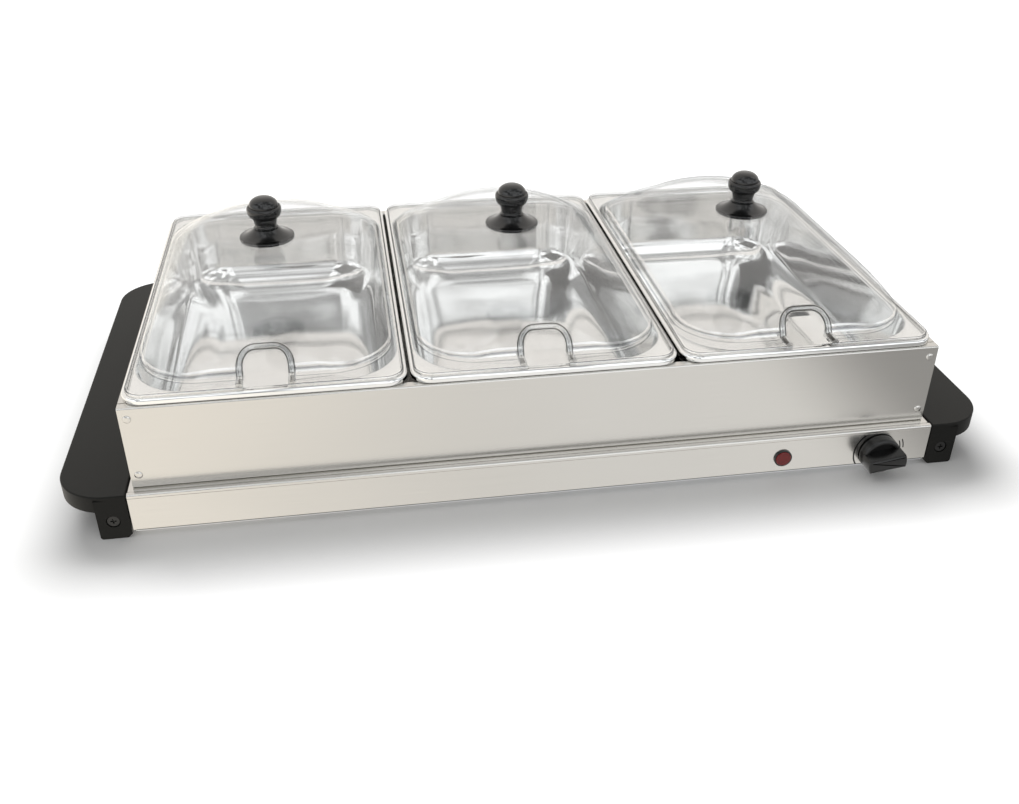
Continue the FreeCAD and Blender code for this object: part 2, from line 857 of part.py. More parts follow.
def cord_gland():
    """The moulded inlet bush in the rear wall: flange outside, barrel inside."""
    flange = rod(gland_flange_radius, at(gland_x, half_depth, gland_height),
                 at(gland_x, half_depth + gland_flange, gland_height))
    outer_edge = [edge for edge in flange.Edges
                  if abs(edge.BoundBox.YMin - (half_depth + gland_flange)) < 1e-6]
    flange = flange.makeFillet(gland_flange / 3, outer_edge)
    barrel = rod(gland_barrel_radius, at(gland_x, rear_inside - gland_inner_length, gland_height),
                 at(gland_x, half_depth, gland_height))
    bore = rod(gland_bore_radius, at(gland_x, rear_inside - gland_inner_length - 1, gland_height),
               at(gland_x, gland_back + 1, gland_height))
    return union([flange, barrel]).cut(bore)


def terminal_ways():
    return [gland_x + way * block_pitch for way in (-1, 0, 1)]


def block_wire_height():
    return plate_floor + block_height / 2


def terminal_block():
    """A three-way block on the bottom plate, with a screw well over each way."""
    low = at(gland_x - block_length / 2, block_y - block_depth / 2, plate_floor)
    high = at(gland_x + block_length / 2, block_y + block_depth / 2, plate_floor + block_height)
    body = block(low, high)
    top = plate_floor + block_height
    wells = []
    for x in terminal_ways():
        wells.append(rod(block_screw_radius, at(x, block_y, top - block_height / 2), at(x, block_y, top + 1)))
    return body.cut(wells)


def terminal_screws():
    top = plate_floor + block_height
    screws = []
    for x in terminal_ways():
        screws.append(rod(block_screw_radius, at(x, block_y, top - block_height / 2),
                          at(x, block_y, top - block_screw_sink)))
    return group(screws)


def earth_place():
    return at(gland_x - earth_offset_x, block_y, plate_floor)


def earth_screw():
    place = earth_place()
    shank = rod(earth_screw_radius, place - UP * bottom_plate_sheet, place + UP * earth_screw_height)
    head = rod(earth_washer_radius, place, place + UP * earth_washer_height)
    nut = hexagon(stud_nut_flats, place + UP * earth_washer_height,
                  place + UP * (earth_washer_height + stud_nut_height))
    return union([shank, head, nut])


def fuse_ends():
    x = terminal_ways()[2]
    return at(x, fuse_length / 2, wire_height), at(x, -fuse_length / 2, wire_height)


def thermal_fuse():
    """The sleeved one-shot cut-out held against the shield."""
    back, front = fuse_ends()
    return rod(fuse_radius, back, front)


def block_exit(way):
    """Where a wire leaves the terminal block towards the front."""
    return at(terminal_ways()[way], block_y - block_depth / 2, block_wire_height())


def drop_route(start, run):
    """Points that lift a wire from the terminal block to just under the shield."""
    lead = at(start.x, start.y - run, start.z)
    lifted = at(start.x, start.y - 2 * run, wire_height)
    return [start, lead, lifted]


def wire_live():
    """From the block to the fuse, and from the fuse to the thermostat."""
    back, front = fuse_ends()
    start = block_exit(2)
    feed = wire_solid(drop_route(start, start.y / 4) + [back])
    end = spade_end(0)
    quarter = (front.y - end.y) / 4
    route = [
        front,
        at(front.x, front.y - 0.6 * quarter, wire_height),
        at(end.x, front.y - 1.8 * quarter, (wire_height + end.z) / 2),
        at(end.x, end.y + quarter, end.z),
        end,
    ]
    return group([feed, wire_solid(route)])


def tab_face(index):
    """The rear face of an element tab, near its lower end."""
    return at(tab_places()[index], element_tab_y + element_tab_sheet / 2,
              element_tab_bottom + element_tab_width / 2)


def wire_switched():
    """From the thermostat to the nearer tab of the heating element."""
    start = spade_end(1)
    end = tab_face(1)
    span = start.x - end.x
    rise = end.y - start.y
    route = [
        start,
        at(start.x, start.y + rise / 3, start.z),
        at(start.x - 0.2 * span, start.y + rise, start.z),
        at(start.x - 0.5 * span, end.y + 0.6 * rise, (start.z + end.z) / 2),
        at(start.x - 0.8 * span, end.y + 0.8 * rise, end.z),
        at(end.x, end.y + 0.6 * rise, end.z),
        end,
    ]
    return wire_solid(route)


def wire_neutral():
    """From the block's middle way to the farther tab of the heating element."""
    start = block_exit(1)
    end = tab_face(0)
    span = start.x - end.x
    fall = start.y - end.y
    route = drop_route(start, start.y / 4)
    route.append(at(start.x - 0.2 * span, end.y + 0.6 * fall, wire_height))
    route.append(at(start.x - 0.7 * span, end.y + 0.4 * fall, (wire_height + end.z) / 2))
    route.append(at(end.x, end.y + 0.2 * fall, end.z))
    route.append(end)
    return wire_solid(route)


def wire_lamp():
    """Two short leads from the pilot lamp to the front faces of the element's tabs."""
    leads = []
    for index, side in ((0, -1), (1, 1)):
        start = lamp_at(-half_depth + lamp_barrel_length) + RIGHT * (side * lamp_lead_spacing / 2)
        end = tab_face(index) - BACK * element_tab_sheet
        span = end.y - start.y
        route = [
            start,
            start + BACK * (span / 4),
            at((start.x + end.x) / 2, (start.y + end.y) / 2 - side * wire_radius * 2, (start.z + end.z) / 2),
            end - BACK * (span / 4),
            end,
        ]
        leads.append(wire_solid(route))
    return group(leads)


def wire_earth():
    """From the block's back to the earth screw on the bottom plate."""
    start = at(terminal_ways()[0], block_y + block_depth / 2, block_wire_height())
    place = earth_place()
    end = at(place.x, place.y + earth_washer_radius, plate_floor + wire_radius + wire_gap)
    swing = start.y + block_depth / 2
    route = [
        start,
        at(start.x, swing, start.z),
        at((start.x + end.x) / 2, swing + block_depth / 3, (start.z + end.z) / 2),
        at(end.x, swing, end.z),
        end,
    ]
    return wire_solid(route)


# Serving frame

def rivet_places():
    """Rivet heads on the front and rear panels: two at each end."""
    x = frame_length / 2 - rivet_end_inset
    for side in (-1, 1):
        for z in (frame_bottom + rivet_bottom_inset, frame_top - rivet_top_inset):
            yield side * x, z


def rivet_holes(y_low, y_high):
    return [rod(rivet_radius + rivet_fit, at(x, y_low, z), at(x, y_high, z)) for x, z in rivet_places()]


def long_panel(end):
    """The front or rear panel: foot flange, wall, top flange and a stiffening lip."""
    outer = frame_depth / 2
    path = [
        (outer - frame_foot_flange, frame_bottom),
        (outer, frame_bottom),
        (outer, frame_top),
        (outer - frame_side_flange, frame_top),
        (outer - frame_side_flange, frame_top - frame_lip),
    ]
    panel = bent_sheet(
        path, frame_sheet, frame_bend,
        lambda y, z: at(-frame_length / 2, y, z), RIGHT * frame_length,
    )
    if end < 0:
        panel = panel.mirror(at(0, 0, 0), BACK)
    y_low, y_high = sorted((end * (outer - 2 * frame_sheet), end * (outer + 1)))
    cuts = rivet_holes(y_low, y_high)
    lip_inner = end * (outer - frame_side_flange - 1)
    lip_outer = end * (outer - frame_sheet - frame_bend)
    y_low, y_high = sorted((lip_inner, lip_outer))
    half = frame_length / 2
    for side in (-1, 1):
        near, far = sorted((side * (half - frame_sheet - panel_gap), side * (half + 1)))
        low = at(near, y_low, frame_top - frame_lip - 1)
        cuts.append(block(low, at(far, y_high, frame_top - frame_sheet)))
    return panel.cut(cuts)


def end_panel(side):
    """A left or right panel, with tabs bent behind the long panels for the rivets."""
    outer = frame_length / 2
    wall_half = frame_depth / 2 - frame_sheet
    flange_half = frame_depth / 2 - frame_side_flange - panel_gap
    inner = outer - frame_sheet
    corner_low = frame_bottom + frame_sheet + frame_bend
    corner_high = frame_top - frame_sheet - frame_bend
    wall_low, wall_high = sorted((side * inner, side * outer))
    pieces = [block(at(wall_low, -wall_half, corner_low), at(wall_high, wall_half, corner_high))]
    near, far = sorted((side * outer, side * (outer - frame_end_flange)))
    pieces.append(block(at(near, -flange_half, frame_top - frame_sheet), at(far, flange_half, frame_top)))
    foot_near, foot_far = sorted((side * outer, side * (outer - frame_foot_flange)))
    foot_half = frame_depth / 2 - frame_foot_flange - panel_gap
    pieces.append(block(at(foot_near, -foot_half, frame_bottom),
                        at(foot_far, foot_half, frame_bottom + frame_sheet)))
    pieces.append(block(at(wall_low, -flange_half, corner_high), at(wall_high, flange_half, frame_top)))
    pieces.append(block(at(wall_low, -foot_half, frame_bottom), at(wall_high, foot_half, corner_low)))
    tab_near, tab_far = sorted((side * outer, side * (outer - frame_tab)))
    for end in (-1, 1):
        y_low, y_high = sorted((end * wall_half, end * (wall_half - frame_sheet)))
        pieces.append(block(at(tab_near, y_low, corner_low), at(tab_far, y_high, corner_high)))
    panel = union(pieces)
    return panel.cut(rivet_holes(-frame_depth / 2, frame_depth / 2))


def frame_rivets():
    """Domed rivets through the long panels and the end panels' tabs."""
    rivets = []
    for end in (-1, 1):
        face = end * frame_depth / 2
        tail = face - end * 2 * frame_sheet
        for x, z in rivet_places():
            head = rod(rivet_head_radius, at(x, face, z), at(x, face + end * rivet_head_height, z))
            crown = [edge for edge in head.Edges
                     if edge.BoundBox.YLength < 1e-6 and abs(edge.BoundBox.YMin) > abs(face) + 1e-6]
            head = head.makeFillet(rivet_head_height * 0.8, crown)
            shank = rod(rivet_radius, at(x, face, z), at(x, tail, z))
            foot_disc = rod(rivet_radius + rivet_head_height / 2, at(x, tail, z),
                            at(x, tail - end * rivet_head_height, z))
            rivets.append(union([head, shank, foot_disc]))
    return group(rivets)


# Pans

def bowl(extra, centre_x):
    """The pan's tapered hollow, or its outside when extra is the sheet's thickness."""
    low = pan_rim_top - pan_depth - extra
    floor_half_x = opening_half_width - pan_taper + extra
    floor_half_y = opening_half_length - pan_taper + extra
    sections = [
        rounded_rectangle(floor_half_x, floor_half_y, pan_floor_corner_radius + extra, low, centre_x),
        rounded_rectangle(opening_half_width + extra, opening_half_length + extra,
                          pan_opening_radius + extra, pan_rim_top, centre_x),
    ]
    solid = Part.makeLoft(sections, True, True)
    return solid.makeFillet(pan_floor_round + extra, level_edges(solid, low))


def pan(centre_x):
    """A drawn pan: hollow rolled rim, flat border and a round-cornered bowl."""
    half_x = pan_width / 2
    half_y = pan_length / 2
    rim = rounded_slab(half_x, half_y, pan_corner_radius, frame_top, pan_rim_top, centre_x)
    rim = rim.makeFillet(pan_edge_round, level_edges(rim, pan_rim_top))
    under = rounded_slab(half_x - pan_sheet, half_y - pan_sheet, pan_corner_radius - pan_sheet,
                         frame_top, pan_rim_top - pan_sheet, centre_x)
    under = under.makeFillet(pan_edge_round - pan_sheet / 2, level_edges(under, pan_rim_top - pan_sheet))
    shell = rim.cut(under).fuse(bowl(pan_sheet, centre_x))
    return shell.cut(bowl(0, centre_x)).removeSplitter()


# Clear lids

def dome(extra, centre_x):
    """The lid's crowned dome, grown outwards by extra, down to the rim of the pan."""
    sections = [
        rounded_rectangle(dome_half_width + extra, dome_half_length + extra,
                          lid_base_radius + extra, lid_bottom, centre_x),
    ]
    for index in range(lid_section_count):
        share = index / (lid_section_count - 1)
        height = math.sin(share * math.pi / 2)
        spread = (1 - height ** lid_shape_power) ** (1 / lid_shape_power)
        half_x = lid_flat_half_width + (dome_half_width - lid_flat_half_width) * spread + extra
        half_y = lid_flat_half_length + (dome_half_length - lid_flat_half_length) * spread + extra
        radius = min(half_x - lid_least_straight, lid_base_radius + lid_corner_growth * height + extra)
        z = lid_base + (lid_top - lid_base) * height + extra
        sections.append(rounded_rectangle(half_x, half_y, radius, z, centre_x))
    return Part.makeLoft(sections, True, True)


def notch_plan(extra, centre_x):
    """The spoon notch seen from above, grown outwards by extra."""
    half = notch_half_width + extra
    deepest = -pan_length / 2 + notch_reach + extra
    radius = notch_corner_radius + extra
    start = -pan_length / 2 - 1
    low = lid_bottom - lid_rib_depth - 1
    corners = [
        (at(centre_x - half, start, low), 0),
        (at(centre_x + half, start, low), 0),
        (at(centre_x + half, deepest, low), radius),
        (at(centre_x - half, deepest, low), radius),
    ]
    return Part.Face(rounded_wire(corners)).extrude(UP * (lid_top - low))


def lid_cover(centre_x):
    """The clear lid: flange, dome, locating rib and a beaded spoon notch in front."""
    flange = rounded_slab(lid_half_width, lid_half_length, pan_corner_radius - lid_edge_inset,
                          lid_bottom, lid_base, centre_x)
    hollow = dome(-lid_wall, centre_x)
    shell = flange.fuse(dome(0, centre_x)).cut(hollow)
    rib_x = opening_half_width - lid_rib_play
    rib_y = opening_half_length - lid_rib_play
    rib_radius = pan_opening_radius - lid_rib_play
    rib = rounded_slab(rib_x, rib_y, rib_radius, lid_bottom - lid_rib_depth, lid_base, centre_x)
    rib = rib.cut(rounded_slab(rib_x - lid_rib_wall, rib_y - lid_rib_wall, rib_radius - lid_rib_wall,
                               lid_bottom - lid_rib_depth, lid_base, centre_x))
    bead_plan = notch_plan(notch_bead_width, centre_x).cut(notch_plan(0, centre_x))
    legs = rounded_slab(lid_half_width, lid_half_length, pan_corner_radius - lid_edge_inset,
                        lid_bottom, lid_base + notch_bead_height, centre_x)
    bead = legs.fuse(dome(notch_bead_height, centre_x)).cut(hollow).common(bead_plan)
    screw_hole = rod(lid_screw_radius + lid_screw_fit, at(centre_x, 0, lid_bottom),
                     at(centre_x, 0, lid_top + 1))
    whole = shell.multiFuse([rib, bead])
    return whole.cut([notch_plan(0, centre_x), screw_hole]).removeSplitter()


def lid_knob_skirt(centre_x):
    """The flared collar that spreads the knob's load on the lid."""
    bore = lid_screw_radius + lid_screw_fit
    rise = skirt_height - skirt_rim
    profile = [(bore, 0), (skirt_radius, 0), (skirt_radius, skirt_rim)]
    for step in range(1, 6):
        share = step / 5
        radius = skirt_radius - (skirt_radius - skirt_neck_radius) * share
        height = skirt_rim + rise * (0.72 * share + 0.28 * share ** 3)
        profile.append((radius, height))
    profile.append((bore, skirt_height))
    return turned(profile, at(centre_x, 0, lid_top))


def lid_knob(centre_x):
    """The mushroom-shaped knob, bored from below for the screw."""
    profile = [(0, 0), (neck_ring_radius, 0), (neck_ring_radius, neck_ring_height)]
    profile += [(neck_waist_radius, neck_waist_height), (neck_top_radius, neck_top_height)]
    steps = 6
    for step in range(1, steps + 1):
        angle = step / steps * math.pi / 2
        radius = neck_top_radius + (head_radius - neck_top_radius) * math.sin(angle)
        profile.append((radius, head_height - (head_height - neck_top_height) * math.cos(angle)))
    for step in range(1, steps):
        angle = step / steps * math.pi / 2
        radius = head_crown_radius + (head_radius - head_crown_radius) * math.cos(angle)
        profile.append((radius, head_height + head_shoulder_height * math.sin(angle)))
    edge_height = head_height + head_shoulder_height
    profile.append((head_crown_radius, edge_height - head_crown_groove))
    for step in range(steps):
        share = 1 - step / steps
        radius = (head_crown_radius - head_crown_groove) * share
        profile.append((radius, edge_height + (lid_knob_height - edge_height) * (1 - share ** 2)))
    profile.append((0, lid_knob_height))
    knob = turned(profile, at(centre_x, 0, lid_top + skirt_height))
    base = lid_top + skirt_height
    return knob.cut(rod(lid_screw_radius, at(centre_x, 0, base - 1), at(centre_x, 0, base + lid_screw_depth)))


def lid_screw(centre_x):
    """The screw that clamps the lid between the washer and the skirt."""
    seat = lid_top - lid_wall - lid_washer_height
    head = rod(lid_screw_head_radius, at(centre_x, 0, seat - lid_screw_head_height), at(centre_x, 0, seat))
    low_edge = level_edges(head, seat - lid_screw_head_height)
    head = head.makeFillet(lid_screw_head_height / 2, low_edge)
    tip = lid_top + skirt_height + lid_screw_depth
    return union([head, rod(lid_screw_radius, at(centre_x, 0, seat), at(centre_x, 0, tip))])


def lid_washer(centre_x):
    top = at(centre_x, 0, lid_top - lid_wall)
    return ring(lid_washer_radius, lid_screw_radius + lid_screw_fit, top - UP * lid_washer_height, top)


def make_base():
    export("warming_plate", warming_plate())
    export("bottom_plate", bottom_plate())
    export("bottom_plate_screws", bottom_plate_screws())
    for name, side in sides.items():
        export(name + "_end_bracket", end_bracket(side))
        export(name + "_handle", handle(side))
    export("handle_screws", handle_screws())
    export("heat_spreader", heat_spreader())
    export("heating_element", heating_element())
    export("element_terminals", element_terminals())
    export("insulation_blanket", insulation_blanket())
    export("heat_shield", heat_shield())
    export("shield_studs", shield_studs())
    export("thermostat_body", thermostat_body())
    export("thermostat_terminals", thermostat_terminals())
    export("thermostat_bracket", thermostat_bracket())
    export("thermostat_nut", thermostat_nut())
    export("thermostat_shaft", thermostat_shaft())
    export("control_knob", control_knob())
    export("pilot_lamp_body", pilot_lamp_body())
    export("pilot_lens", pilot_lens())
    export("cord_gland", cord_gland())
    export("terminal_block", terminal_block())
    export("terminal_screws", terminal_screws())
    export("thermal_fuse", thermal_fuse())
    export("earth_screw", earth_screw())
    export("wire_live", wire_live())
    export("wire_switched", wire_switched())
    export("wire_neutral", wire_neutral())
    export("wire_lamp", wire_lamp())
    export("wire_earth", wire_earth())


def make_frame():
    export("frame_front_panel", long_panel(-1))
    export("frame_rear_panel", long_panel(1))
    for name, side in sides.items():
        export("frame_" + name + "_panel", end_panel(side))
    export("frame_rivets", frame_rivets())


def make_pans_and_lids():
    for index in range(pan_count):
        name = pan_names[index]
        centre_x = (index - (pan_count - 1) / 2) * pan_pitch
        export(name + "_pan", pan(centre_x))
        export(name + "_lid_cover", lid_cover(centre_x))
        export(name + "_lid_skirt", lid_knob_skirt(centre_x))
        export(name + "_lid_knob", lid_knob(centre_x))
        export(name + "_lid_screw", lid_screw(centre_x))
        export(name + "_lid_washer", lid_washer(centre_x))


os.makedirs("parts", exist_ok=True)
make_base()
make_frame()
make_pans_and_lids()
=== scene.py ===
# %% [markdown]
# # An electric buffet warmer, dressed for its photograph
#
# The solid model arrives as a fixed frame: every part sits where the maker's
# drawing puts it, in metres, with the table at z = 0. This notebook adds what the
# drawing can't hold: brushed and polished steel, clear moulded lids, satin plastic.
# Parts whose faces matter in a reflection are modelled again with smooth meshes.

import math
import bpy
import bmesh
from mathutils import Matrix, Vector
from mathutils.bvhtree import BVHTree
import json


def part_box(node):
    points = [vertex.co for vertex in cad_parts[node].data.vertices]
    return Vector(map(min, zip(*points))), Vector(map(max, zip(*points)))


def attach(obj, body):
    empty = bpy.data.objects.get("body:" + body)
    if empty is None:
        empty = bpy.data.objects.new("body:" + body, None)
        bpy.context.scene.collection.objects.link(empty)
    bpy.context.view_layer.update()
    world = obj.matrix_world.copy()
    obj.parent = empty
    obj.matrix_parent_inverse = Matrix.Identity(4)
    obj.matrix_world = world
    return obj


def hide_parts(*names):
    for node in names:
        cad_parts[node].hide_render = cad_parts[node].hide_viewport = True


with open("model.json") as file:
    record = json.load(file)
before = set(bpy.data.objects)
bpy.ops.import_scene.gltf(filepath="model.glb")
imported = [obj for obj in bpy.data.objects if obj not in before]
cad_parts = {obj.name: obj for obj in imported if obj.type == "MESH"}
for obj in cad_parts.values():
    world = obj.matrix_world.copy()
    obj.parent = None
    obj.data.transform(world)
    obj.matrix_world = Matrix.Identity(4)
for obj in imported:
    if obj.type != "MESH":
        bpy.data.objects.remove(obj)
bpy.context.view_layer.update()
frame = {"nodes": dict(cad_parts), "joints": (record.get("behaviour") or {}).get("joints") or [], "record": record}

# %% [markdown]
# ## The camera
#
# A photograph fixes seven numbers: where the camera stands, where it looks, how it
# is rolled, and its lens. They were found by matching corners of the tray, the pans
# and the knobs. A sensor 36 mm wide is Blender's own, so the lens is in the same scale.

# %% Camera
mm = 0.001
camera_place = Vector((-121.5, -735.8, 435.6)) * mm
camera_yaw = -0.1607
camera_pitch = -0.5454
camera_roll = 0.0043
camera_lens = 37.4

camera_data = bpy.data.cameras.new("photo_camera")
camera_data.lens = camera_lens
camera_data.sensor_width = 36.0
camera_data.clip_start = 0.02
camera = bpy.data.objects.new("photo_camera", camera_data)
look = Matrix.Rotation(camera_yaw, 4, "Z") @ Matrix.Rotation(math.pi / 2 + camera_pitch, 4, "X")
camera.matrix_world = Matrix.Translation(camera_place) @ look @ Matrix.Rotation(camera_roll, 4, "Z")
bpy.context.scene.collection.objects.link(camera)
bpy.context.scene.camera = camera
print("camera stands at", [round(value, 3) for value in camera_place])

# %% [markdown]
# ## Shader sums written as Python
#
# A procedural finish is mostly arithmetic on a few noise patterns. Wrapping a socket
# in a small class lets that arithmetic be written as it is thought, such as
# `1 - mask * 0.3`, and each operator adds the Math node that it stands for. Every
# other node comes from one method, which takes its kind, its settings and its inputs.

# %% The socket wrapper
class Value:
    """One output of a node. Sums on it add Math nodes to the finish it belongs to."""

    def __init__(self, finish, socket):
        self.finish = finish
        self.socket = socket

    def math(self, operation, first, second=0.0):
        return self.finish.node("ShaderNodeMath", {"operation": operation}, {0: first, 1: second})

    def __add__(self, other):
        return self.math("ADD", self, other)

    __radd__ = __add__

    def __sub__(self, other):
        return self.math("SUBTRACT", self, other)

    def __rsub__(self, other):
        return self.math("SUBTRACT", other, self)

    def __mul__(self, other):
        return self.math("MULTIPLY", self, other)

    __rmul__ = __mul__

    def __pow__(self, other):
        return self.math("POWER", self, other)

    def __abs__(self):
        return self.math("ABSOLUTE", self)

    def at_least(self, other):
        return self.math("MAXIMUM", self, other)

    def at_most(self, other):
        return self.math("MINIMUM", self, other)

    def between(self, low, high):
        """0 below the low value, 1 above the high one, and a soft step from one to the other."""
        inputs = {"Value": self, "From Min": low, "From Max": high}
        return self.finish.node("ShaderNodeMapRange", {"interpolation_type": "SMOOTHSTEP"}, inputs)


class Patterns:
    """The nodes of one tree, whether a material's or the world's."""

    def __init__(self, tree):
        self.tree = tree

    def node(self, kind, settings=None, inputs=None, output=0):
        """Any node: its settings first, then the numbers or links of its sockets."""
        made = self.tree.nodes.new(kind)
        for name, value in (settings or {}).items():
            setattr(made, name, value)
        for key, value in (inputs or {}).items():
            self.feed(made.inputs[key], value)
        return Value(self, made.outputs[output])

    def outputs(self, kind, names, inputs=None):
        """Several outputs of one node."""
        made = self.node(kind, None, inputs).socket.node
        return [Value(self, made.outputs[name]) for name in names]

    def feed(self, socket, value):
        if isinstance(value, Value):
            self.tree.links.new(value.socket, socket)
        else:
            socket.default_value = value

    def place(self):
        """Where the surface is, in metres in the frame, because every object sits at the origin."""
        return self.node("ShaderNodeTexCoord", output="Object")

    def along(self):
        """The three numbers of that place."""
        return self.outputs("ShaderNodeSeparateXYZ", "XYZ", {"Vector": self.place()})

    def stretched(self, scale):
        """The place, stretched so that a pattern gets long along one way."""
        return self.node("ShaderNodeMapping", None, {"Vector": self.place(), "Scale": scale})

    def noise(self, scale, detail=2.0, where=None, roughness=0.5, twist=0.0):
        """A cloudy pattern; twist bends its blobs into swirls."""
        inputs = {"Vector": where or self.place(), "Scale": scale, "Detail": detail,
                  "Roughness": roughness, "Distortion": twist}
        return self.node("ShaderNodeTexNoise", None, inputs)

    def mix(self, low, high, factor):
        """A colour between two colours."""
        return self.node("ShaderNodeMix", {"data_type": "RGBA"}, {0: factor, 6: low, 7: high}, output=2)


class Finish(Patterns):
    """A material with one Principled shader, and the patterns that feed it."""

    def __init__(self, name, **constants):
        self.material = bpy.data.materials.new(name)
        self.material.use_nodes = True
        super().__init__(self.material.node_tree)
        self.shader = self.tree.nodes["Principled BSDF"]
        for name, value in constants.items():
            socket = name.replace("_", " ").title().replace("Ior", "IOR")
            self.shader.inputs[socket].default_value = value

    def bump(self, height, strength, distance):
        inputs = {"Height": height, "Strength": strength, "Distance": distance}
        self.feed(self.shader.inputs["Normal"], self.node("ShaderNodeBump", None, inputs))

    def set(self, **varying):
        for socket, value in varying.items():
            self.feed(self.shader.inputs[socket.replace("_", " ").title()], value)


def opaque(red, green, blue):
    return (red, green, blue, 1.0)


def shade(colour, factor, lift=0.0):
    """The colour made lighter or darker."""
    return opaque(*[min(1.0, part * factor + lift) for part in colour])


print("shader sums are ready")

# %% [markdown]
# ## Brushed steel
#
# The tray and the serving frame are rolled stainless sheet with a satin grain. The
# grain is thousands of fine scratches along the sheet, so a noise pattern is pressed
# hard across the grain and left long along it. It moves the roughness more than the
# colour, because a scratch scatters light and hardly darkens it.

# %% Brushed steel
def brushed_steel(name, colour, grain, roughness):
    finish = Finish(name, metallic=1.0)
    lines = finish.noise(1.0, 3.0, finish.stretched(grain), 0.65)
    cloud = finish.noise(9.0, 2.0)
    smear = finish.noise(38.0, 3.0)
    finish.set(
        base_color=finish.mix(shade(colour, 0.9), shade(colour, 1.06), lines * 0.7 + cloud * 0.3),
        roughness=roughness + (lines - 0.5) * 0.12 + (smear - 0.5) * 0.05,
    )
    finish.bump(lines, 0.06, 0.0003)
    return finish.material


finishes = {}
sheet_grain = (14, 900, 2600)
finishes["brushed_stainless"] = brushed_steel("brushed_stainless", (0.66, 0.645, 0.615), sheet_grain, 0.22)

# %% [markdown]
# ## Polished steel
#
# The pans are drawn from bright sheet and polished, so they act as soft mirrors. Such
# a surface is never flat: drawing leaves slow waves of about ten centimetres, and
# they are what bends a reflection into streaks and swirls. A low, twisted noise in the
# bump does this, with faint wipe marks in the roughness.

# %% Polished steel
def polished_steel(name, colour, roughness):
    finish = Finish(name, metallic=1.0)
    waves = finish.noise(9.0, 0.0, twist=0.9)
    wipes = finish.noise(1.0, 3.0, finish.stretched((40, 210, 60)), 0.6)
    finish.set(
        base_color=finish.mix(shade(colour, 0.95), shade(colour, 1.04), wipes),
        roughness=roughness + (wipes - 0.5) * 0.05,
    )
    finish.bump(waves, 0.7, 0.0022)
    return finish.material


finishes["polished_stainless"] = polished_steel("polished_stainless", (0.84, 0.84, 0.83), 0.08)

# %% [markdown]
# ## Plain metals
#
# Screws, brackets and shields hide inside or underneath. Zinc plating shows a cloudy
# crystal pattern, mill aluminium a faint rolling grain, and brass a little tarnish.
# One recipe with a blotch pattern serves all three; only its scale and colours differ.

# %% Plain metals
def plain_metal(name, colour, tarnish, blotch_scale, roughness):
    finish = Finish(name, metallic=1.0)
    blotch = finish.noise(blotch_scale, 4.0, roughness=0.6)
    grain = finish.noise(1.0, 2.0, finish.stretched((40, 900, 900)))
    finish.set(
        base_color=finish.mix(opaque(*tarnish), opaque(*colour), blotch * 0.8 + grain * 0.2),
        roughness=roughness + (blotch - 0.5) * 0.2,
    )
    finish.bump(grain, 0.08, 0.0002)
    return finish.material


metals = {
    "zinc_steel": ((0.6, 0.61, 0.62), (0.5, 0.51, 0.53), 60.0, 0.4),
    "aluminium_sheet": ((0.78, 0.79, 0.8), (0.7, 0.71, 0.72), 20.0, 0.35),
    "brass": ((0.8, 0.64, 0.34), (0.6, 0.45, 0.22), 120.0, 0.3),
}
for slot, recipe in metals.items():
    finishes[slot] = plain_metal(slot, *recipe)

# %% [markdown]
# ## Moulded plastic
#
# Satin mouldings carry a spark-eroded texture from the tool: fine, even pits well
# under a millimetre. Gloss mouldings have none, and only slow sink marks and dust give
# them away. The two differ in the depth of the pits and in the roughness, so one
# recipe makes both. Each row gives a colour, a roughness, the pits' fineness per metre
# and their depth in metres; some add a clear coat or a weaker shine.

# %% Moulded plastic
def moulded(name, colour, roughness, pit_scale, pit_depth, coat=0.0, shine=0.5):
    finish = Finish(name, coat_weight=coat, coat_roughness=0.08, specular_ior_level=shine)
    pits = finish.noise(pit_scale, 2.0)
    cloud = finish.noise(18.0, 3.0)
    finish.set(
        base_color=finish.mix(shade(colour, 0.85), shade(colour, 1.2, 0.002), cloud * 0.7 + pits * 0.3),
        roughness=roughness + (cloud - 0.5) * 0.08 + (pits - 0.5) * 0.06,
    )
    finish.bump(pits, 0.3, pit_depth)
    return finish.material


plastics = {
    "handle_plastic": ((0.0145, 0.0145, 0.013), 0.45, 2600.0, 0.00005, 0.0, 0.13),
    "knob_plastic": ((0.004, 0.004, 0.004), 0.17, 400.0, 0.00001, 0.2, 0.5),
    "dial_plastic": ((0.009, 0.0088, 0.0085), 0.3, 2200.0, 0.00003, 0.0, 0.45),
    "terminal_nylon": ((0.78, 0.77, 0.72), 0.45, 900.0, 0.00004),
    "fuse_sleeve": ((0.8, 0.79, 0.75), 0.6, 1600.0, 0.00006),
    "black_rubber": ((0.028, 0.028, 0.028), 0.6, 1200.0, 0.00006),
    "silicone": ((0.68, 0.68, 0.66), 0.5, 700.0, 0.00003),
}
for slot, recipe in plastics.items():
    finishes[slot] = moulded(slot, *recipe)

# %% [markdown]
# ## Woven blanket, mica ribbon and wire sleeves
#
# The heating stack is out of sight, yet the part may be opened in another scene. The
# blanket is glass cloth, so two crossed waves make its weave. The ribbon's mica
# flakes and the wires' extruded sleeves need only a fine pattern each.

# %% Woven blanket, mica ribbon and wire sleeves
def woven(name, colour):
    finish = Finish(name)
    threads = {"Vector": finish.place(), "Scale": 320.0, "Distortion": 0.4}
    warp, weft = [
        finish.node("ShaderNodeTexWave", {"wave_type": "BANDS", "bands_direction": way}, threads, output=1)
        for way in "XY"
    ]
    fuzz = finish.noise(500.0, 3.0)
    weave = warp * weft
    finish.set(
        base_color=finish.mix(shade(colour, 0.75), shade(colour, 1.0), weave * 0.7 + fuzz * 0.3),
        roughness=0.8 + fuzz * 0.15,
    )
    finish.bump(weave + fuzz * 0.3, 0.5, 0.0004)
    return finish.material


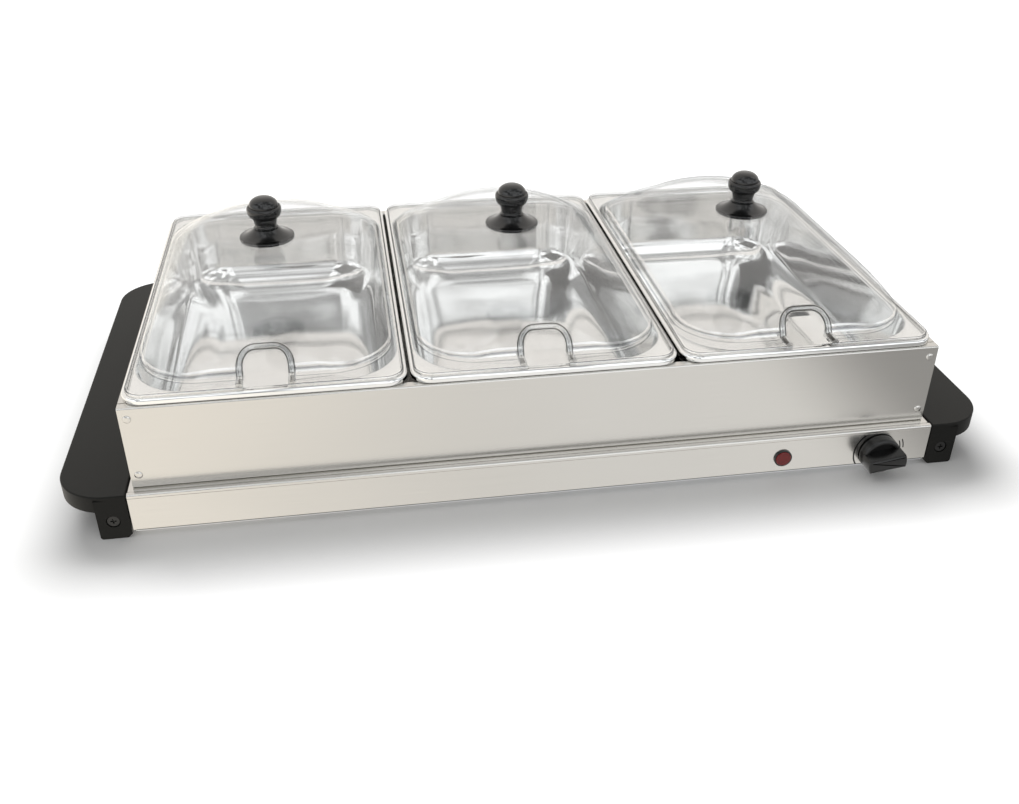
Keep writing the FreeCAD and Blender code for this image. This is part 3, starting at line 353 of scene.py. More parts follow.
finishes["glass_fibre"] = woven("glass_fibre", (0.86, 0.85, 0.8))
finishes["ribbon_mica"] = moulded("ribbon_mica", (0.56, 0.48, 0.34), 0.5, 500.0, 0.0001)
wire_colours = {
    "wire_brown": (0.2, 0.09, 0.04),
    "wire_blue": (0.04, 0.13, 0.4),
    "wire_green": (0.16, 0.4, 0.08),
    "wire_red": (0.45, 0.04, 0.03),
}
for slot, colour in wire_colours.items():
    finishes[slot] = moulded(slot, colour, 0.4, 900.0, 0.00003)

# %% [markdown]
# ## The red lens
#
# The pilot lamp's lens is a clear red dome over an unlit lamp, so it reads as deep
# red with a sharp highlight. A clear coat gives the highlight, and the colour darkens
# towards the edge, where one looks through more of the plastic.

# %% The red lens
def red_lens(name):
    finish = Finish(name, coat_weight=0.15, coat_roughness=0.06, specular_ior_level=0.3)
    edge = finish.node("ShaderNodeLayerWeight", None, {"Blend": 0.35}, output="Facing")
    flecks = finish.noise(260.0, 3.0)
    bright_red, dark_red = opaque(0.36, 0.014, 0.014), opaque(0.09, 0.003, 0.003)
    finish.set(
        base_color=finish.mix(bright_red, dark_red, edge * 0.7 + flecks * 0.5),
        roughness=0.16 + flecks * 0.08,
    )
    finish.bump(flecks, 0.15, 0.0001)
    return finish.material


finishes["red_lens"] = red_lens("red_lens")

# %% [markdown]
# ## Clear plastic
#
# A lid is 2 mm of clear styrene. A full glass shader would bend every ray and cast
# a dark shadow on the pan, which a thin clear shell doesn't do. So the shell lets light
# straight through, and mirrors it more and more towards a grazing angle. Alpha
# follows that angle: about 2 % head-on, and most of it at the edge.
#
# Where the sheet bends, it acts as a lens and shows a dark line beside a bright one; both are painted into the
# colour and alpha, as a painted shade line and a painted highlight line.
# Two bends run round each lid: the flange's rim and the dome's foot. Both are
# rectangles with round corners in plan, so one formula gives the distance to either,
# and a narrow band of that distance is a line. The lids stand a fixed pitch apart, and
# wrapping x at that pitch lets one formula serve all three.

# %% Clear plastic
pan_pitch = 181 * mm
lid_corner = 12.5 * mm
dome_side = 5.5 * mm
dome_end = 14.5 * mm
dome_corner = 41 * mm
# Colours of the painted shade line and the painted highlight line at the bends.
painted_bend_shade = opaque(0.14, 0.15, 0.16)
painted_bend_highlight = opaque(0.95, 0.95, 0.94)


def outline_distance(finish, half_x, half_y, radius):
    """The distance in plan from a round-cornered rectangle under each lid, minus inside."""
    x, y, height = finish.along()
    wrap = {0: x, 1: pan_pitch / 2, 2: -pan_pitch / 2}
    over_x = abs(finish.node("ShaderNodeMath", {"operation": "WRAP"}, wrap)) - (half_x - radius)
    over_y = abs(y - lid_middle_y) - (half_y - radius)
    corner = (over_x.at_least(0.0) ** 2.0 + over_y.at_least(0.0) ** 2.0) ** 0.5
    return corner + over_x.at_least(over_y).at_most(0.0) - radius


def band(distance, start, full, fade, end):
    """1 from full to fade, and 0 before start and after end, in millimetres of the distance."""
    return distance.between(start * mm, full * mm) * (1 - distance.between(fade * mm, end * mm))


def clear_plastic(name, haze):
    finish = Finish(name, metallic=1.0)
    facing = finish.node("ShaderNodeLayerWeight", None, {"Blend": 0.5}, output="Facing")
    mould_flow = finish.noise(26.0, 2.0)
    dust = finish.noise(900.0, 2.0)
    mirror = 0.02 + (facing ** 5.0) * 0.7 + haze * mould_flow
    foot = outline_distance(finish, *dome_foot)
    rim = outline_distance(finish, *flange_rim)
    # Painted shade lines at the dome's foot and inside the flange's rim, painted highlight lines beside them and
    # on the rim's edge.
    painted_shade_line = band(foot, 0.0, 0.6, 0.7, 1.5) * 0.5
    painted_shade_line = painted_shade_line.at_least(band(rim, -1.1, -0.8, -0.5, -0.2) * 0.75)
    painted_highlight_line = band(foot, -1.5, -1.0, -0.5, 0.0) * 0.6
    painted_highlight_line = painted_highlight_line.at_least(band(rim, -2.2, -1.7, -1.4, -1.0) * 0.5)
    painted_highlight_line = painted_highlight_line.at_least(rim.between(-0.4 * mm, -0.1 * mm) * 0.45)
    tint_with_painted_light = finish.mix(opaque(0.86, 0.89, 0.91), opaque(0.97, 0.98, 0.98), mould_flow)
    tint_with_painted_light = finish.mix(tint_with_painted_light, painted_bend_highlight, painted_highlight_line.between(0.0, 0.2))
    finish.set(
        base_color=finish.mix(tint_with_painted_light, painted_bend_shade, painted_shade_line.between(0.0, 0.2)),
        roughness=0.04 + dust * 0.02 + painted_highlight_line * 0.3 + painted_shade_line * 0.3,
        alpha=mirror.at_least(painted_highlight_line).at_least(painted_shade_line),
    )
    finish.bump(mould_flow, 0.1, 0.0006)
    return finish.material


def clear_rod(name):
    """The bead round the notch: a solid rod, with a painted shade band and then a painted highlight towards its
    sides.
    """
    finish = Finish(name, metallic=1.0)
    facing = finish.node("ShaderNodeLayerWeight", None, {"Blend": 0.5}, output="Facing")
    mould_flow = finish.noise(90.0, 2.0)
    # Painted light: a dark band and a bright band by viewing angle stand for the rod's refraction.
    painted_shade_line = facing.between(0.16, 0.3) * (1 - facing.between(0.4, 0.55))
    painted_highlight_line = facing.between(0.5, 0.65)
    tint_with_painted_light = finish.mix(opaque(0.8, 0.8, 0.78), opaque(0.09, 0.085, 0.08), painted_shade_line)
    finish.set(
        base_color=finish.mix(tint_with_painted_light, opaque(0.9, 0.9, 0.89), painted_highlight_line),
        roughness=0.12 + mould_flow * 0.1,
        alpha=0.3 + painted_shade_line * 0.55 + painted_highlight_line * 0.4,
    )
    finish.bump(mould_flow, 0.1, 0.0004)
    return finish.material


lid_low, lid_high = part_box("middle_lid_cover")
lid_middle_y = (lid_low.y + lid_high.y) / 2
lid_half = (lid_high - lid_low) / 2
flange_rim = (lid_half.x, lid_half.y, lid_corner)
dome_foot = (lid_half.x - dome_side, lid_half.y - dome_end, dome_corner)
finishes["clear_plastic"] = clear_plastic("clear_plastic", 0.02)
clear_bead = clear_rod("clear_bead")
print("finishes:", len(finishes))

# %% [markdown]
# ## Dressing the frame's own parts
#
# The record names a finish for each part. Where the drawing's own mesh is right, as on
# a folded sheet or a screw, the part keeps it and only takes the finish.

# %% Dress the CAD nodes
slot_of = {}
for part in frame["record"]["subparts"]:
    slot_of[part["node"]] = part["material_slot"]
for name, part in frame["nodes"].items():
    part.data.materials.clear()
    part.data.materials.append(finishes[slot_of[name]])
print("dressed", len(slot_of), "parts")

# %% [markdown]
# ## Helpers for new pieces
#
# A piece begins as a bmesh and ends as an object at the origin. Its faces are smooth
# except across real corners, which the angle between faces finds.

# %% Helpers for new pieces
def finished_piece(name, mesh, slot_name, body, nodes, sharp_angle=35.0, look=None):
    """A bmesh made into an object that rides on a body and stands for CAD nodes.

    Its finish is its slot's own, unless a look of the same stuff is given."""
    for edge in mesh.edges:
        if len(edge.link_faces) == 2:
            edge.smooth = edge.calc_face_angle() < math.radians(sharp_angle)
    for face in mesh.faces:
        face.smooth = True
    data = bpy.data.meshes.new(name)
    mesh.to_mesh(data)
    mesh.free()
    data.materials.append(look or finishes[slot_name])
    piece = bpy.data.objects.new(name, data)
    bpy.context.scene.collection.objects.link(piece)
    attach(piece, body)
    if nodes:
        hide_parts(*nodes)
    return piece


def round_rectangle(mesh, half_x, half_y, radius, centre, corner_steps=10):
    """The edge loop of a level rectangle whose corners a bevel has rounded."""
    square = bmesh.ops.create_grid(mesh, x_segments=1, y_segments=1, size=1.0)["verts"]
    bmesh.ops.scale(mesh, vec=(half_x, half_y, 1.0), verts=square)
    bmesh.ops.translate(mesh, vec=centre, verts=square)
    rounded = bmesh.ops.bevel(mesh, geom=square, offset=radius, offset_type="OFFSET", affect="VERTICES",
                              segments=corner_steps, profile=0.5, material=-1)
    face = rounded["verts"][0].link_faces[0]
    edges = list(face.edges)
    bmesh.ops.delete(mesh, geom=[face], context="FACES_ONLY")
    return edges


def skin(mesh, rings):
    """Faces between each ring and the next."""
    for lower, upper in zip(rings, rings[1:]):
        bmesh.ops.bridge_loops(mesh, edges=lower + upper)


def cap(mesh, ring):
    """A face across the last ring."""
    bmesh.ops.contextual_create(mesh, geom=ring)


print("helpers are ready")

# %% [markdown]
# ## The pans
#
# A pan is one sheet, drawn into a bowl with a rolled rim. Every level cut through it
# is a rectangle with round corners, so the sheet is a stack of such loops bridged
# from the rim's lower edge, over the roll, across the flat border and down to the
# floor. The floor rises a little to its middle, as a drawn floor does. The wall gets
# its thickness last, once the faces are known to point up.

# %% The pans' sizes
pan_names = ["left", "middle", "right"]
pan_sheet = 0.8 * mm
pan_corner = 14 * mm
pan_roll = 2.0 * mm
pan_hem = 1.5 * mm
pan_border_side = 6 * mm
pan_border_end = 7.5 * mm
pan_opening_corner = 39 * mm
pan_lip = 2.4 * mm
pan_taper = 8 * mm
pan_depth = 60 * mm
pan_floor_corner = 31 * mm
pan_floor_round = 18 * mm
pan_floor_spread = 27 * mm
pan_floor_corner_loss = 0.3 * pan_floor_spread
pan_floor_rise = 1.2 * mm
pan_extra_side = 0.7 * mm
curve_steps = 6


def quarter(steps):
    """Sine and cosine pairs along a quarter turn, both ends included."""
    for step in range(steps + 1):
        angle = step / steps * math.pi / 2
        yield math.sin(angle), math.cos(angle)


# %% Model the pans
def pan_rings(mesh, name):
    low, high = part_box(name + "_pan")
    middle = (low + high) / 2
    half = (high - low) / 2 + Vector((pan_extra_side, 0, 0))
    rim_height = high.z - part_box("frame_front_panel")[1].z
    rings = []

    def ring(inset_x, inset_y, radius, drop):
        centre = (middle.x, middle.y, high.z - drop)
        rings.append(round_rectangle(mesh, half.x - inset_x, half.y - inset_y, radius, centre))

    def bowl_ring(inset, radius, drop):
        ring(pan_border_side + inset, pan_border_end + inset, radius, drop)

    def wall_inset(drop):
        return pan_taper * drop / pan_depth

    def wall_corner(drop):
        return pan_opening_corner - (pan_opening_corner - pan_floor_corner) * drop / pan_depth

    for sine, cosine in quarter(4):
        inset = pan_hem * (1 - sine)
        ring(inset, inset, pan_corner - inset, rim_height - pan_hem * (1 - cosine))
    for sine, cosine in quarter(curve_steps):
        inset = pan_roll * (1 - cosine)
        ring(inset, inset, pan_corner - inset, pan_roll * (1 - sine))
    for sine, cosine in quarter(curve_steps):
        short = pan_lip * (1 - sine)
        bowl_ring(-short, pan_opening_corner + short, pan_lip * (1 - cosine))
    wall_end = pan_depth - pan_floor_round
    for share in (0.35, 0.7):
        drop = pan_lip + (wall_end - pan_lip) * share
        bowl_ring(wall_inset(drop), wall_corner(drop), drop)
    for sine, cosine in quarter(2 * curve_steps):
        drop = wall_end + pan_floor_round * sine
        inset = wall_inset(drop) + pan_floor_spread * (1 - cosine)
        corner = wall_corner(wall_end) - pan_floor_corner_loss * (1 - cosine)
        bowl_ring(inset, corner, drop)
    flat_x = half.x - pan_border_side - inset
    for share in (0.25, 0.5, 0.75):
        rise = pan_floor_rise * math.sin(share * math.pi / 2) ** 2
        bowl_ring(inset + flat_x * share, corner * (1 - share), pan_depth - rise)
    return rings


def model_pan(name):
    mesh = bmesh.new()
    rings = pan_rings(mesh, name)
    skin(mesh, rings)
    cap(mesh, rings[-1])
    close_sheet(mesh, pan_sheet)
    return finished_piece(name + "_pan_bowl", mesh, "polished_stainless", name + "_pan", [name + "_pan"])


def close_sheet(mesh, thickness):
    """Turns the faces of an open sheet upwards, then gives it a wall below them."""
    bmesh.ops.remove_doubles(mesh, verts=mesh.verts[:], dist=1e-6)
    bmesh.ops.recalc_face_normals(mesh, faces=mesh.faces[:])
    largest = max(mesh.faces, key=lambda face: face.calc_area())
    if largest.normal.z < 0:
        bmesh.ops.reverse_faces(mesh, faces=mesh.faces[:])
    bmesh.ops.solidify(mesh, geom=mesh.faces[:], thickness=thickness)


for name in pan_names:
    bowl = model_pan(name)
    print(bowl.name, "faces:", len(bowl.data.polygons))

# %% [markdown]
# ## The lids
#
# A lid is a thin moulded dome on a flat flange. Its sections are round-cornered
# rectangles again, shrinking along a superellipse, which gives the long flat crown and
# the soft shoulders. The spoon notch is cut afterwards with a Boolean, because a
# straight saw cut through a curved shell is what it is. The flange's edge is rounded
# more tightly than the wall is thick, so the shell crosses itself there, and the
# Boolean is told to expect that: without it, the exact solver returns nothing.

# %% The lids' sizes
lid_wall = 2.0 * mm
lid_flange = 2.2 * mm
lid_edge = 0.6 * mm
dome_corner_growth = 56 * mm
dome_flat_x = 22 * mm
dome_flat_y = 64 * mm
dome_power = 1.5
dome_steps = 16
least_straight = 1.0 * mm


def lid_box(name):
    """The middle of a lid's lower face, its half size in plan, and the height of its crown."""
    low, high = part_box(name + "_lid_cover")
    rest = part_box(name + "_pan")[1].z
    middle = Vector(((low.x + high.x) / 2, (low.y + high.y) / 2, rest))
    return middle, (high - low) / 2, high.z - rest


# %% Model the domes
def dome_rings(mesh, name):
    middle, half, rise = lid_box(name)
    rings = []

    def ring(half_x, half_y, radius, height):
        centre = middle + Vector((0, 0, height))
        rings.append(round_rectangle(mesh, half_x, half_y, radius, centre))

    ring(half.x, half.y, lid_corner, 0)
    for sine, cosine in quarter(3):
        inset = lid_edge * (1 - cosine)
        ring(half.x - inset, half.y - inset, lid_corner - inset, lid_flange - lid_edge * (1 - sine))
    base_x = half.x - dome_side
    base_y = half.y - dome_end
    for sine, cosine in quarter(dome_steps):
        spread = (1 - sine ** dome_power) ** (1 / dome_power)
        half_x = dome_flat_x + (base_x - dome_flat_x) * spread
        half_y = dome_flat_y + (base_y - dome_flat_y) * spread
        radius = min(half_x - least_straight, dome_corner + dome_corner_growth * sine)
        ring(half_x, half_y, radius, lid_flange + (rise - lid_flange) * sine)
    return rings


def model_dome(name):
    mesh = bmesh.new()
    rings = dome_rings(mesh, name)
    skin(mesh, rings)
    cap(mesh, rings[-1])
    close_sheet(mesh, lid_wall)
    return mesh


# %% [markdown]
# ## The spoon notch and its bead
#
# The notch would be weak at its edge, so the mould thickens it into a clear round
# bead. The bead follows the dome exactly: its route is drawn in plan, dropped onto
# the outer surface, and given a round section as a curve.

# %% The notch
notch_half = 14 * mm
notch_reach = 24 * mm
notch_corner = 8 * mm
bead_radius = 2.4 * mm
bead_rise = 0.4 * mm


def notch_cutter(name):
    """A tall block with the notch's plan, a little longer than the lid's front."""
    middle, half, rise = lid_box(name)
    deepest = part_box(name + "_pan")[0].y + notch_reach
    front = middle.y - half.y - 4 * mm
    mesh = bmesh.new()
    length = deepest - front
    loop = round_rectangle(mesh, notch_half, length, notch_corner, (middle.x, front, middle.z - 6 * mm))
    cap(mesh, loop)
    risen = bmesh.ops.extrude_face_region(mesh, geom=mesh.faces[:])
    tops = [part for part in risen["geom"] if isinstance(part, bmesh.types.BMVert)]
    bmesh.ops.translate(mesh, vec=(0, 0, rise + 12 * mm), verts=tops)
    bmesh.ops.recalc_face_normals(mesh, faces=mesh.faces[:])
    data = bpy.data.meshes.new("cutter")
    mesh.to_mesh(data)
    mesh.free()
    cutter = bpy.data.objects.new("cutter", data)
    bpy.context.scene.collection.objects.link(cutter)
    return cutter


def cut_away(mesh, cutter):
    """The mesh with the cutter's volume taken out, as a new bmesh."""
    data = bpy.data.meshes.new("uncut")
    mesh.to_mesh(data)
    mesh.free()
    body = bpy.data.objects.new("uncut", data)
    bpy.context.scene.collection.objects.link(body)
    boolean = body.modifiers.new("notch", "BOOLEAN")
    boolean.object = cutter
    boolean.operation = "DIFFERENCE"
    boolean.solver = "EXACT"
    boolean.use_self = True
    graph = bpy.context.evaluated_depsgraph_get()
    cut = bmesh.new()
    cut.from_object(body, graph)
    for used in (body, cutter):
        bpy.data.objects.remove(used)
    return cut


def bead_plan(name):
    """The bead's middle line seen from above, from the left leg's foot round to the right's."""
    middle, half, rise = lid_box(name)
    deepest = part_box(name + "_pan")[0].y + notch_reach + bead_radius
    front = middle.y - half.y + 0.5 * mm
    leg = notch_half + bead_radius
    corner = notch_corner + bead_radius
    turn = deepest - corner
    points = []
    for step in range(13):
        points.append((middle.x - leg, front + (turn - front) * step / 12))
    for sine, cosine in list(quarter(8))[1:]:
        points.append((middle.x - leg + corner * (1 - cosine), turn + corner * sine))
    mirrored = [(2 * middle.x - x, y) for x, y in points[::-1]]
    return points + mirrored


def model_bead(name, surface):
    """A round bead along the notch, laid on the lid's outer surface."""
    curve = bpy.data.curves.new("bead", "CURVE")
    curve.dimensions = "3D"
    curve.bevel_depth = bead_radius
    curve.bevel_resolution = 5
    curve.use_fill_caps = True
    spline = curve.splines.new("POLY")
    plan = bead_plan(name)
    spline.points.add(len(plan) - 1)
    for point, (x, y) in zip(spline.points, plan):
        hit = surface.ray_cast(Vector((x, y, 1.0)), Vector((0, 0, -1.0)))[0]
        point.co = (x, y, hit.z + bead_rise, 1.0)
    holder = bpy.data.objects.new("bead", curve)
    bpy.context.scene.collection.objects.link(holder)
    graph = bpy.context.evaluated_depsgraph_get()
    mesh = bmesh.new()
    mesh.from_mesh(bpy.data.meshes.new_from_object(holder.evaluated_get(graph)))
    bpy.data.objects.remove(holder)
    bmesh.ops.remove_doubles(mesh, verts=mesh.verts[:], dist=1e-6)
    bmesh.ops.recalc_face_normals(mesh, faces=mesh.faces[:])
    return finished_piece(name + "_lid_bead", mesh, "clear_plastic", name + "_lid", [], look=clear_bead)


# %% Make the lids
for name in pan_names:
    dome = model_dome(name)
    surface = BVHTree.FromBMesh(dome)
    cut = cut_away(dome, notch_cutter(name))
    cover = finished_piece(name + "_lid_dome", cut, "clear_plastic", name + "_lid", [name + "_lid_cover"])
    bead = model_bead(name, surface)
    print(cover.name, "faces:", len(cover.data.polygons), bead.name, "faces:", len(bead.data.polygons))

# %% [markdown]
# ## The lid knobs
#
# Knob and collar are turned shapes: half an outline, spun about the upright. The
# collar flares from a narrow neck to a flat rim. The head has a crowned disc set in
# it, with a ring groove round the disc that catches a thin bright line.

# %% Turned pieces
spin_steps = 72


def turn(outline, centre):
    """A closed outline of (radius, height) points spun about the upright through centre."""
    mesh = bmesh.new()
    corners = [mesh.verts.new(centre + Vector((radius, 0, height))) for radius, height in outline]
    closing = [(corners[-1], corners[0])] if outline[0][0] > 0 else []
    sides = [mesh.edges.new(pair) for pair in list(zip(corners, corners[1:])) + closing]
    bmesh.ops.spin(mesh, geom=corners + sides, cent=centre, axis=(0, 0, 1), angle=math.tau,
                   steps=spin_steps, use_merge=True)
    bmesh.ops.remove_doubles(mesh, verts=mesh.verts[:], dist=1e-6)
    bmesh.ops.recalc_face_normals(mesh, faces=mesh.faces[:])
    return mesh


def arc(centre_radius, centre_height, radius, start, end, steps):
    """Points of an arc in an outline, with its angles in degrees from level outwards."""
    for step in range(steps + 1):
        angle = math.radians(start + (end - start) * step / steps)
        yield (centre_radius + radius * math.cos(angle), centre_height + radius * math.sin(angle))


# %% Model the lid knobs
screw_hole = 2.2 * mm
skirt_rim = 2.2 * mm
skirt_round = 0.7 * mm
skirt_neck = 9.0 * mm
groove_depth = 0.5 * mm
ring_radius = 8.5 * mm
ring_height = 0.9 * mm
waist_radius = 7.6 * mm
waist_height = 1.9 * mm
neck_top_radius = 8.8 * mm
neck_top_height = 8.0 * mm
head_height = 14.4 * mm
shoulder_height = 2.0 * mm
crown_radius = 11.2 * mm
crown_power = 0.8


def skirt_outline(radius, height):
    points = [(screw_hole, 0), (radius - skirt_round, 0)]
    points += arc(radius - skirt_round, skirt_round, skirt_round, -90, 0, 3)
    points += arc(radius - skirt_round, skirt_rim - skirt_round, skirt_round, 0, 90, 3)
    flare = radius - 1.6 * mm
    for step in range(1, 13):
        share = step / 12
        points.append((flare + (skirt_neck - flare) * share,
                       skirt_rim + (height - skirt_rim) * (0.66 * share + 0.34 * share ** 3)))
    points.append((screw_hole, height))
    return points


def knob_outline(radius, height):
    points = [(0, 0), (ring_radius - 0.3 * mm, 0), (ring_radius, 0.3 * mm), (ring_radius, ring_height)]
    points += [(waist_radius + 0.3 * mm, ring_height + 0.3 * mm), (waist_radius, waist_height)]
    points += [((waist_radius + neck_top_radius) / 2, (waist_height + neck_top_height) / 2)]
    for sine, cosine in quarter(10):
        points.append((neck_top_radius + (radius - neck_top_radius) * sine,
                       head_height - (head_height - neck_top_height) * cosine))
    for sine, cosine in list(quarter(8))[1:]:
        points.append((crown_radius + (radius - crown_radius) * cosine,
                       head_height + shoulder_height * sine))
    edge = head_height + shoulder_height
    disc_radius = crown_radius - groove_depth * 1.4
    points.append((crown_radius - groove_depth * 0.6, edge - groove_depth))
    points.append((disc_radius, edge - groove_depth * 0.4))
    for sine, cosine in list(quarter(12))[1:]:
        points.append((disc_radius * cosine ** crown_power, edge + (height - edge) * sine))
    return points


for name in pan_names:
    low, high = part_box(name + "_lid_skirt")
    centre = Vector(((low.x + high.x) / 2, (low.y + high.y) / 2, low.z))
    skirt = turn(skirt_outline((high.x - low.x) / 2, high.z - low.z), centre)
    finished_piece(name + "_lid_collar", skirt, "knob_plastic", name + "_lid", [name + "_lid_skirt"])
    low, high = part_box(name + "_lid_knob")
    centre.z = low.z
    knob = turn(knob_outline((high.x - low.x) / 2, high.z - low.z), centre)
    finished_piece(name + "_lid_grip", knob, "knob_plastic", name + "_lid", [name + "_lid_knob"])
print("lid knobs:", len(pan_names))

# %% [markdown]
# ## The control knob
#
# The knob is a short drum with a dished front, and a broad grip bar stands out of the
# dish. The drum's face is inset and pushed in to make the dish. The bar is a longer
# drum sawn flat on two sides, so that its ends keep the drum's curve.

# %% Model the control knob
dial = [joint for joint in frame["joints"] if joint["name"] == "heat_control"][0]
dial_axis = Vector(dial["pos_m"])
drum_length = 7.5 * mm
drum_edge = 2.2 * mm
dish_rim = 2.8 * mm
dish_depth = 2.2 * mm
grip_half = 5.0 * mm
grip_edge = 1.8 * mm
grip_angle = math.radians(-8)


def drum(mesh, radius, near, far):
    """A closed drum along Y between two places."""
    made = bmesh.ops.create_cone(mesh, cap_ends=True, cap_tris=False, segments=96, radius1=radius,
                                 radius2=radius, depth=near - far)["verts"]
    bmesh.ops.rotate(mesh, verts=made, cent=(0, 0, 0), matrix=Matrix.Rotation(math.pi / 2, 3, "X"))
    bmesh.ops.translate(mesh, verts=made, vec=(dial_axis.x, (near + far) / 2, dial_axis.z))
    return made


def front_face(verts, front):
    faces = {face for vert in verts for face in vert.link_faces}
    return [face for face in faces if all(abs(vert.co.y - front) < 1e-6 for vert in face.verts)][0]


def model_control_knob():
    low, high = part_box("control_knob")
    radius = (high.z - low.z) / 2
    mesh = bmesh.new()
    front = high.y - drum_length
    made = drum(mesh, radius, high.y, front)
    face = front_face(made, front)
    bmesh.ops.bevel(mesh, geom=list(face.edges), offset=drum_edge, offset_type="OFFSET", affect="EDGES",
                    segments=4, profile=0.5, material=-1)
    face = front_face(mesh.verts, front)
    bmesh.ops.inset_region(mesh, faces=[face], thickness=dish_rim - drum_edge, depth=0)
    bmesh.ops.inset_region(mesh, faces=[face], thickness=1.0 * mm, depth=-dish_depth)
    bar = bmesh.new()
    made = drum(bar, radius, high.y - 1 * mm, low.y)
    for side in (-1, 1):
        everything = bar.verts[:] + bar.edges[:] + bar.faces[:]
        place = dial_axis + Vector((0, 0, side * grip_half))
        sawn = bmesh.ops.bisect_plane(bar, geom=everything, plane_co=place, plane_no=(0, 0, side),
                                      clear_outer=True)
        rim = [part for part in sawn["geom_cut"] if isinstance(part, bmesh.types.BMEdge)]
        bmesh.ops.contextual_create(bar, geom=rim)
    face = front_face(bar.verts, low.y)
    bmesh.ops.bevel(bar, geom=list(face.edges), offset=grip_edge, offset_type="OFFSET", affect="EDGES",
                    segments=4, profile=0.5, material=-1)
    bmesh.ops.recalc_face_normals(bar, faces=bar.faces[:])
    joined = bpy.data.meshes.new("bar")
    bar.to_mesh(joined)
    bar.free()
    bmesh.ops.recalc_face_normals(mesh, faces=mesh.faces[:])
    mesh.from_mesh(joined)
    turned = Matrix.Rotation(grip_angle, 3, "Y")
    bmesh.ops.rotate(mesh, verts=mesh.verts[:], cent=dial_axis, matrix=turned)
    return finished_piece("dial_knob", mesh, "dial_plastic", "thermostat_control", ["control_knob"])


print(model_control_knob().name)

# %% [markdown]
# ## The frame's rivets
#
# Each corner of the serving frame is held by two domed rivets in front and two behind.
# A rivet is a turned piece as well: its outline is spun about the upright, laid over
# onto its side, and moved to its hole. The holes' places come from the panel's box.
# The heads are brushed with the panels, so they take the panels' look.

# %% Model the rivets
rivet_head = 2.7 * mm
rivet_rise = 1.0 * mm
rivet_shank = 1.6 * mm
rivet_tail = 2.2 * mm
rivet_grip = 1.6 * mm
rivet_from_end = 5.2 * mm
rivet_from_top = 8.0 * mm
rivet_from_foot = 10.0 * mm


def rivet_outline():
    tail_end = -rivet_grip - rivet_rise
    points = [(0, tail_end), (rivet_tail, tail_end), (rivet_tail, -rivet_grip)]
    points += [(rivet_shank, -rivet_grip), (rivet_shank, 0), (rivet_head, 0)]
    for sine, cosine in list(quarter(8))[1:]:
        points.append((rivet_head * cosine, rivet_rise * sine))
    return points


def rivet_places():
    """A face's place and outward side for each rivet of the two long panels."""
    for name, side in (("frame_front_panel", -1), ("frame_rear_panel", 1)):
        low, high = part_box(name)
        face = low.y if side < 0 else high.y
        for x in (low.x + rivet_from_end, high.x - rivet_from_end):
            for z in (low.z + rivet_from_foot, high.z - rivet_from_top):
                yield Vector((x, face, z)), side


whole = bmesh.new()
for place, side in rivet_places():
    one = turn(rivet_outline(), Vector((0, 0, 0)))
    laid_over = Matrix.Rotation(-side * math.pi / 2, 3, "X")
    bmesh.ops.rotate(one, verts=one.verts[:], cent=(0, 0, 0), matrix=laid_over)
    bmesh.ops.translate(one, verts=one.verts[:], vec=place)
    data = bpy.data.meshes.new("rivet")
    one.to_mesh(data)
    one.free()
    whole.from_mesh(data)
rivets = finished_piece("domed_rivets", whole, "polished_stainless", "serving_frame", ["frame_rivets"],
                        look=finishes["brushed_stainless"])
print(rivets.name, "faces:", len(rivets.data.polygons))

# %% [markdown]
# ## The printed scale
#
# A black scale is printed on the fascia round the knob: a short double line at the
# hot end, and across from it a longer stroke that runs down to the fascia's lower bend.
# Print has no height, so the strips stand a hair off the steel, as wide as the ink.

# %% Print the scale
scale_radius = 17.7 * mm
stroke_width = 1.1 * mm
stroke_start = 128
stroke_end = 214
line_width = 0.8 * mm
line_start = 4
line_end = 26
ink_height = 0.06 * mm
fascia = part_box("warming_plate")[0].y
fascia_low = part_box("warming_plate")[0].z + 0.6 * mm


def ink_arc(mesh, radius, width, start, end):
    """A flat arc of ink, with its angles in degrees from the right, counter-clockwise."""
    pair = [mesh.verts.new((dial_axis.x + size, fascia - ink_height, dial_axis.z))
            for size in (radius - width / 2, radius + width / 2)]
    stroke = mesh.edges.new(pair)
    turn_by = Matrix.Rotation(-math.radians(start), 3, "Y")
    bmesh.ops.rotate(mesh, verts=pair, cent=dial_axis, matrix=turn_by)
    bmesh.ops.spin(mesh, geom=pair + [stroke], cent=dial_axis, axis=(0, -1, 0),
                   angle=math.radians(end - start), steps=48, use_merge=False)


mesh = bmesh.new()
ink_arc(mesh, scale_radius, stroke_width, stroke_start, stroke_end)
ink_arc(mesh, scale_radius - line_width, line_width, line_start, line_end)
ink_arc(mesh, scale_radius + line_width * 2, line_width, line_start, line_end)
everything = mesh.verts[:] + mesh.edges[:] + mesh.faces[:]
bmesh.ops.bisect_plane(mesh, geom=everything, plane_co=(0, 0, fascia_low), plane_no=(0, 0, -1),
                       clear_outer=True)
for face in mesh.faces:
    if face.normal.y > 0:
        face.normal_flip()
scale = finished_piece("scale_print", mesh, "dial_plastic", "base", [])
print(scale.name, "faces:", len(scale.data.polygons))

# %% [markdown]
# ## The studio
#
# A product shot stands on a pale sweep under large soft lights. The table is white to the camera and through clear
# plastic, except in a narrow belt round the tray. There it is plain paint, which keeps the tray's soft shadow, and
# it turns into an even white glow over the next ten centimetres. In the steel front's reflection the table shows a
# painted glow, warm and strong at the left and falling off to the right: painted light that stands for the main
# light at the left.

# %% The floor
beside_share = 0.05
white_glow = 1.3
tray_half = (300 * mm, 160 * mm)
belt = (5 * mm, 100 * mm)
mirrored_share = 0.95
painted_glow_left = 1.27
middle_loss, middle_from, middle_to = 0.27, -0.32, -0.02
right_loss, right_from, right_to = 0.58, 0.2, 0.33


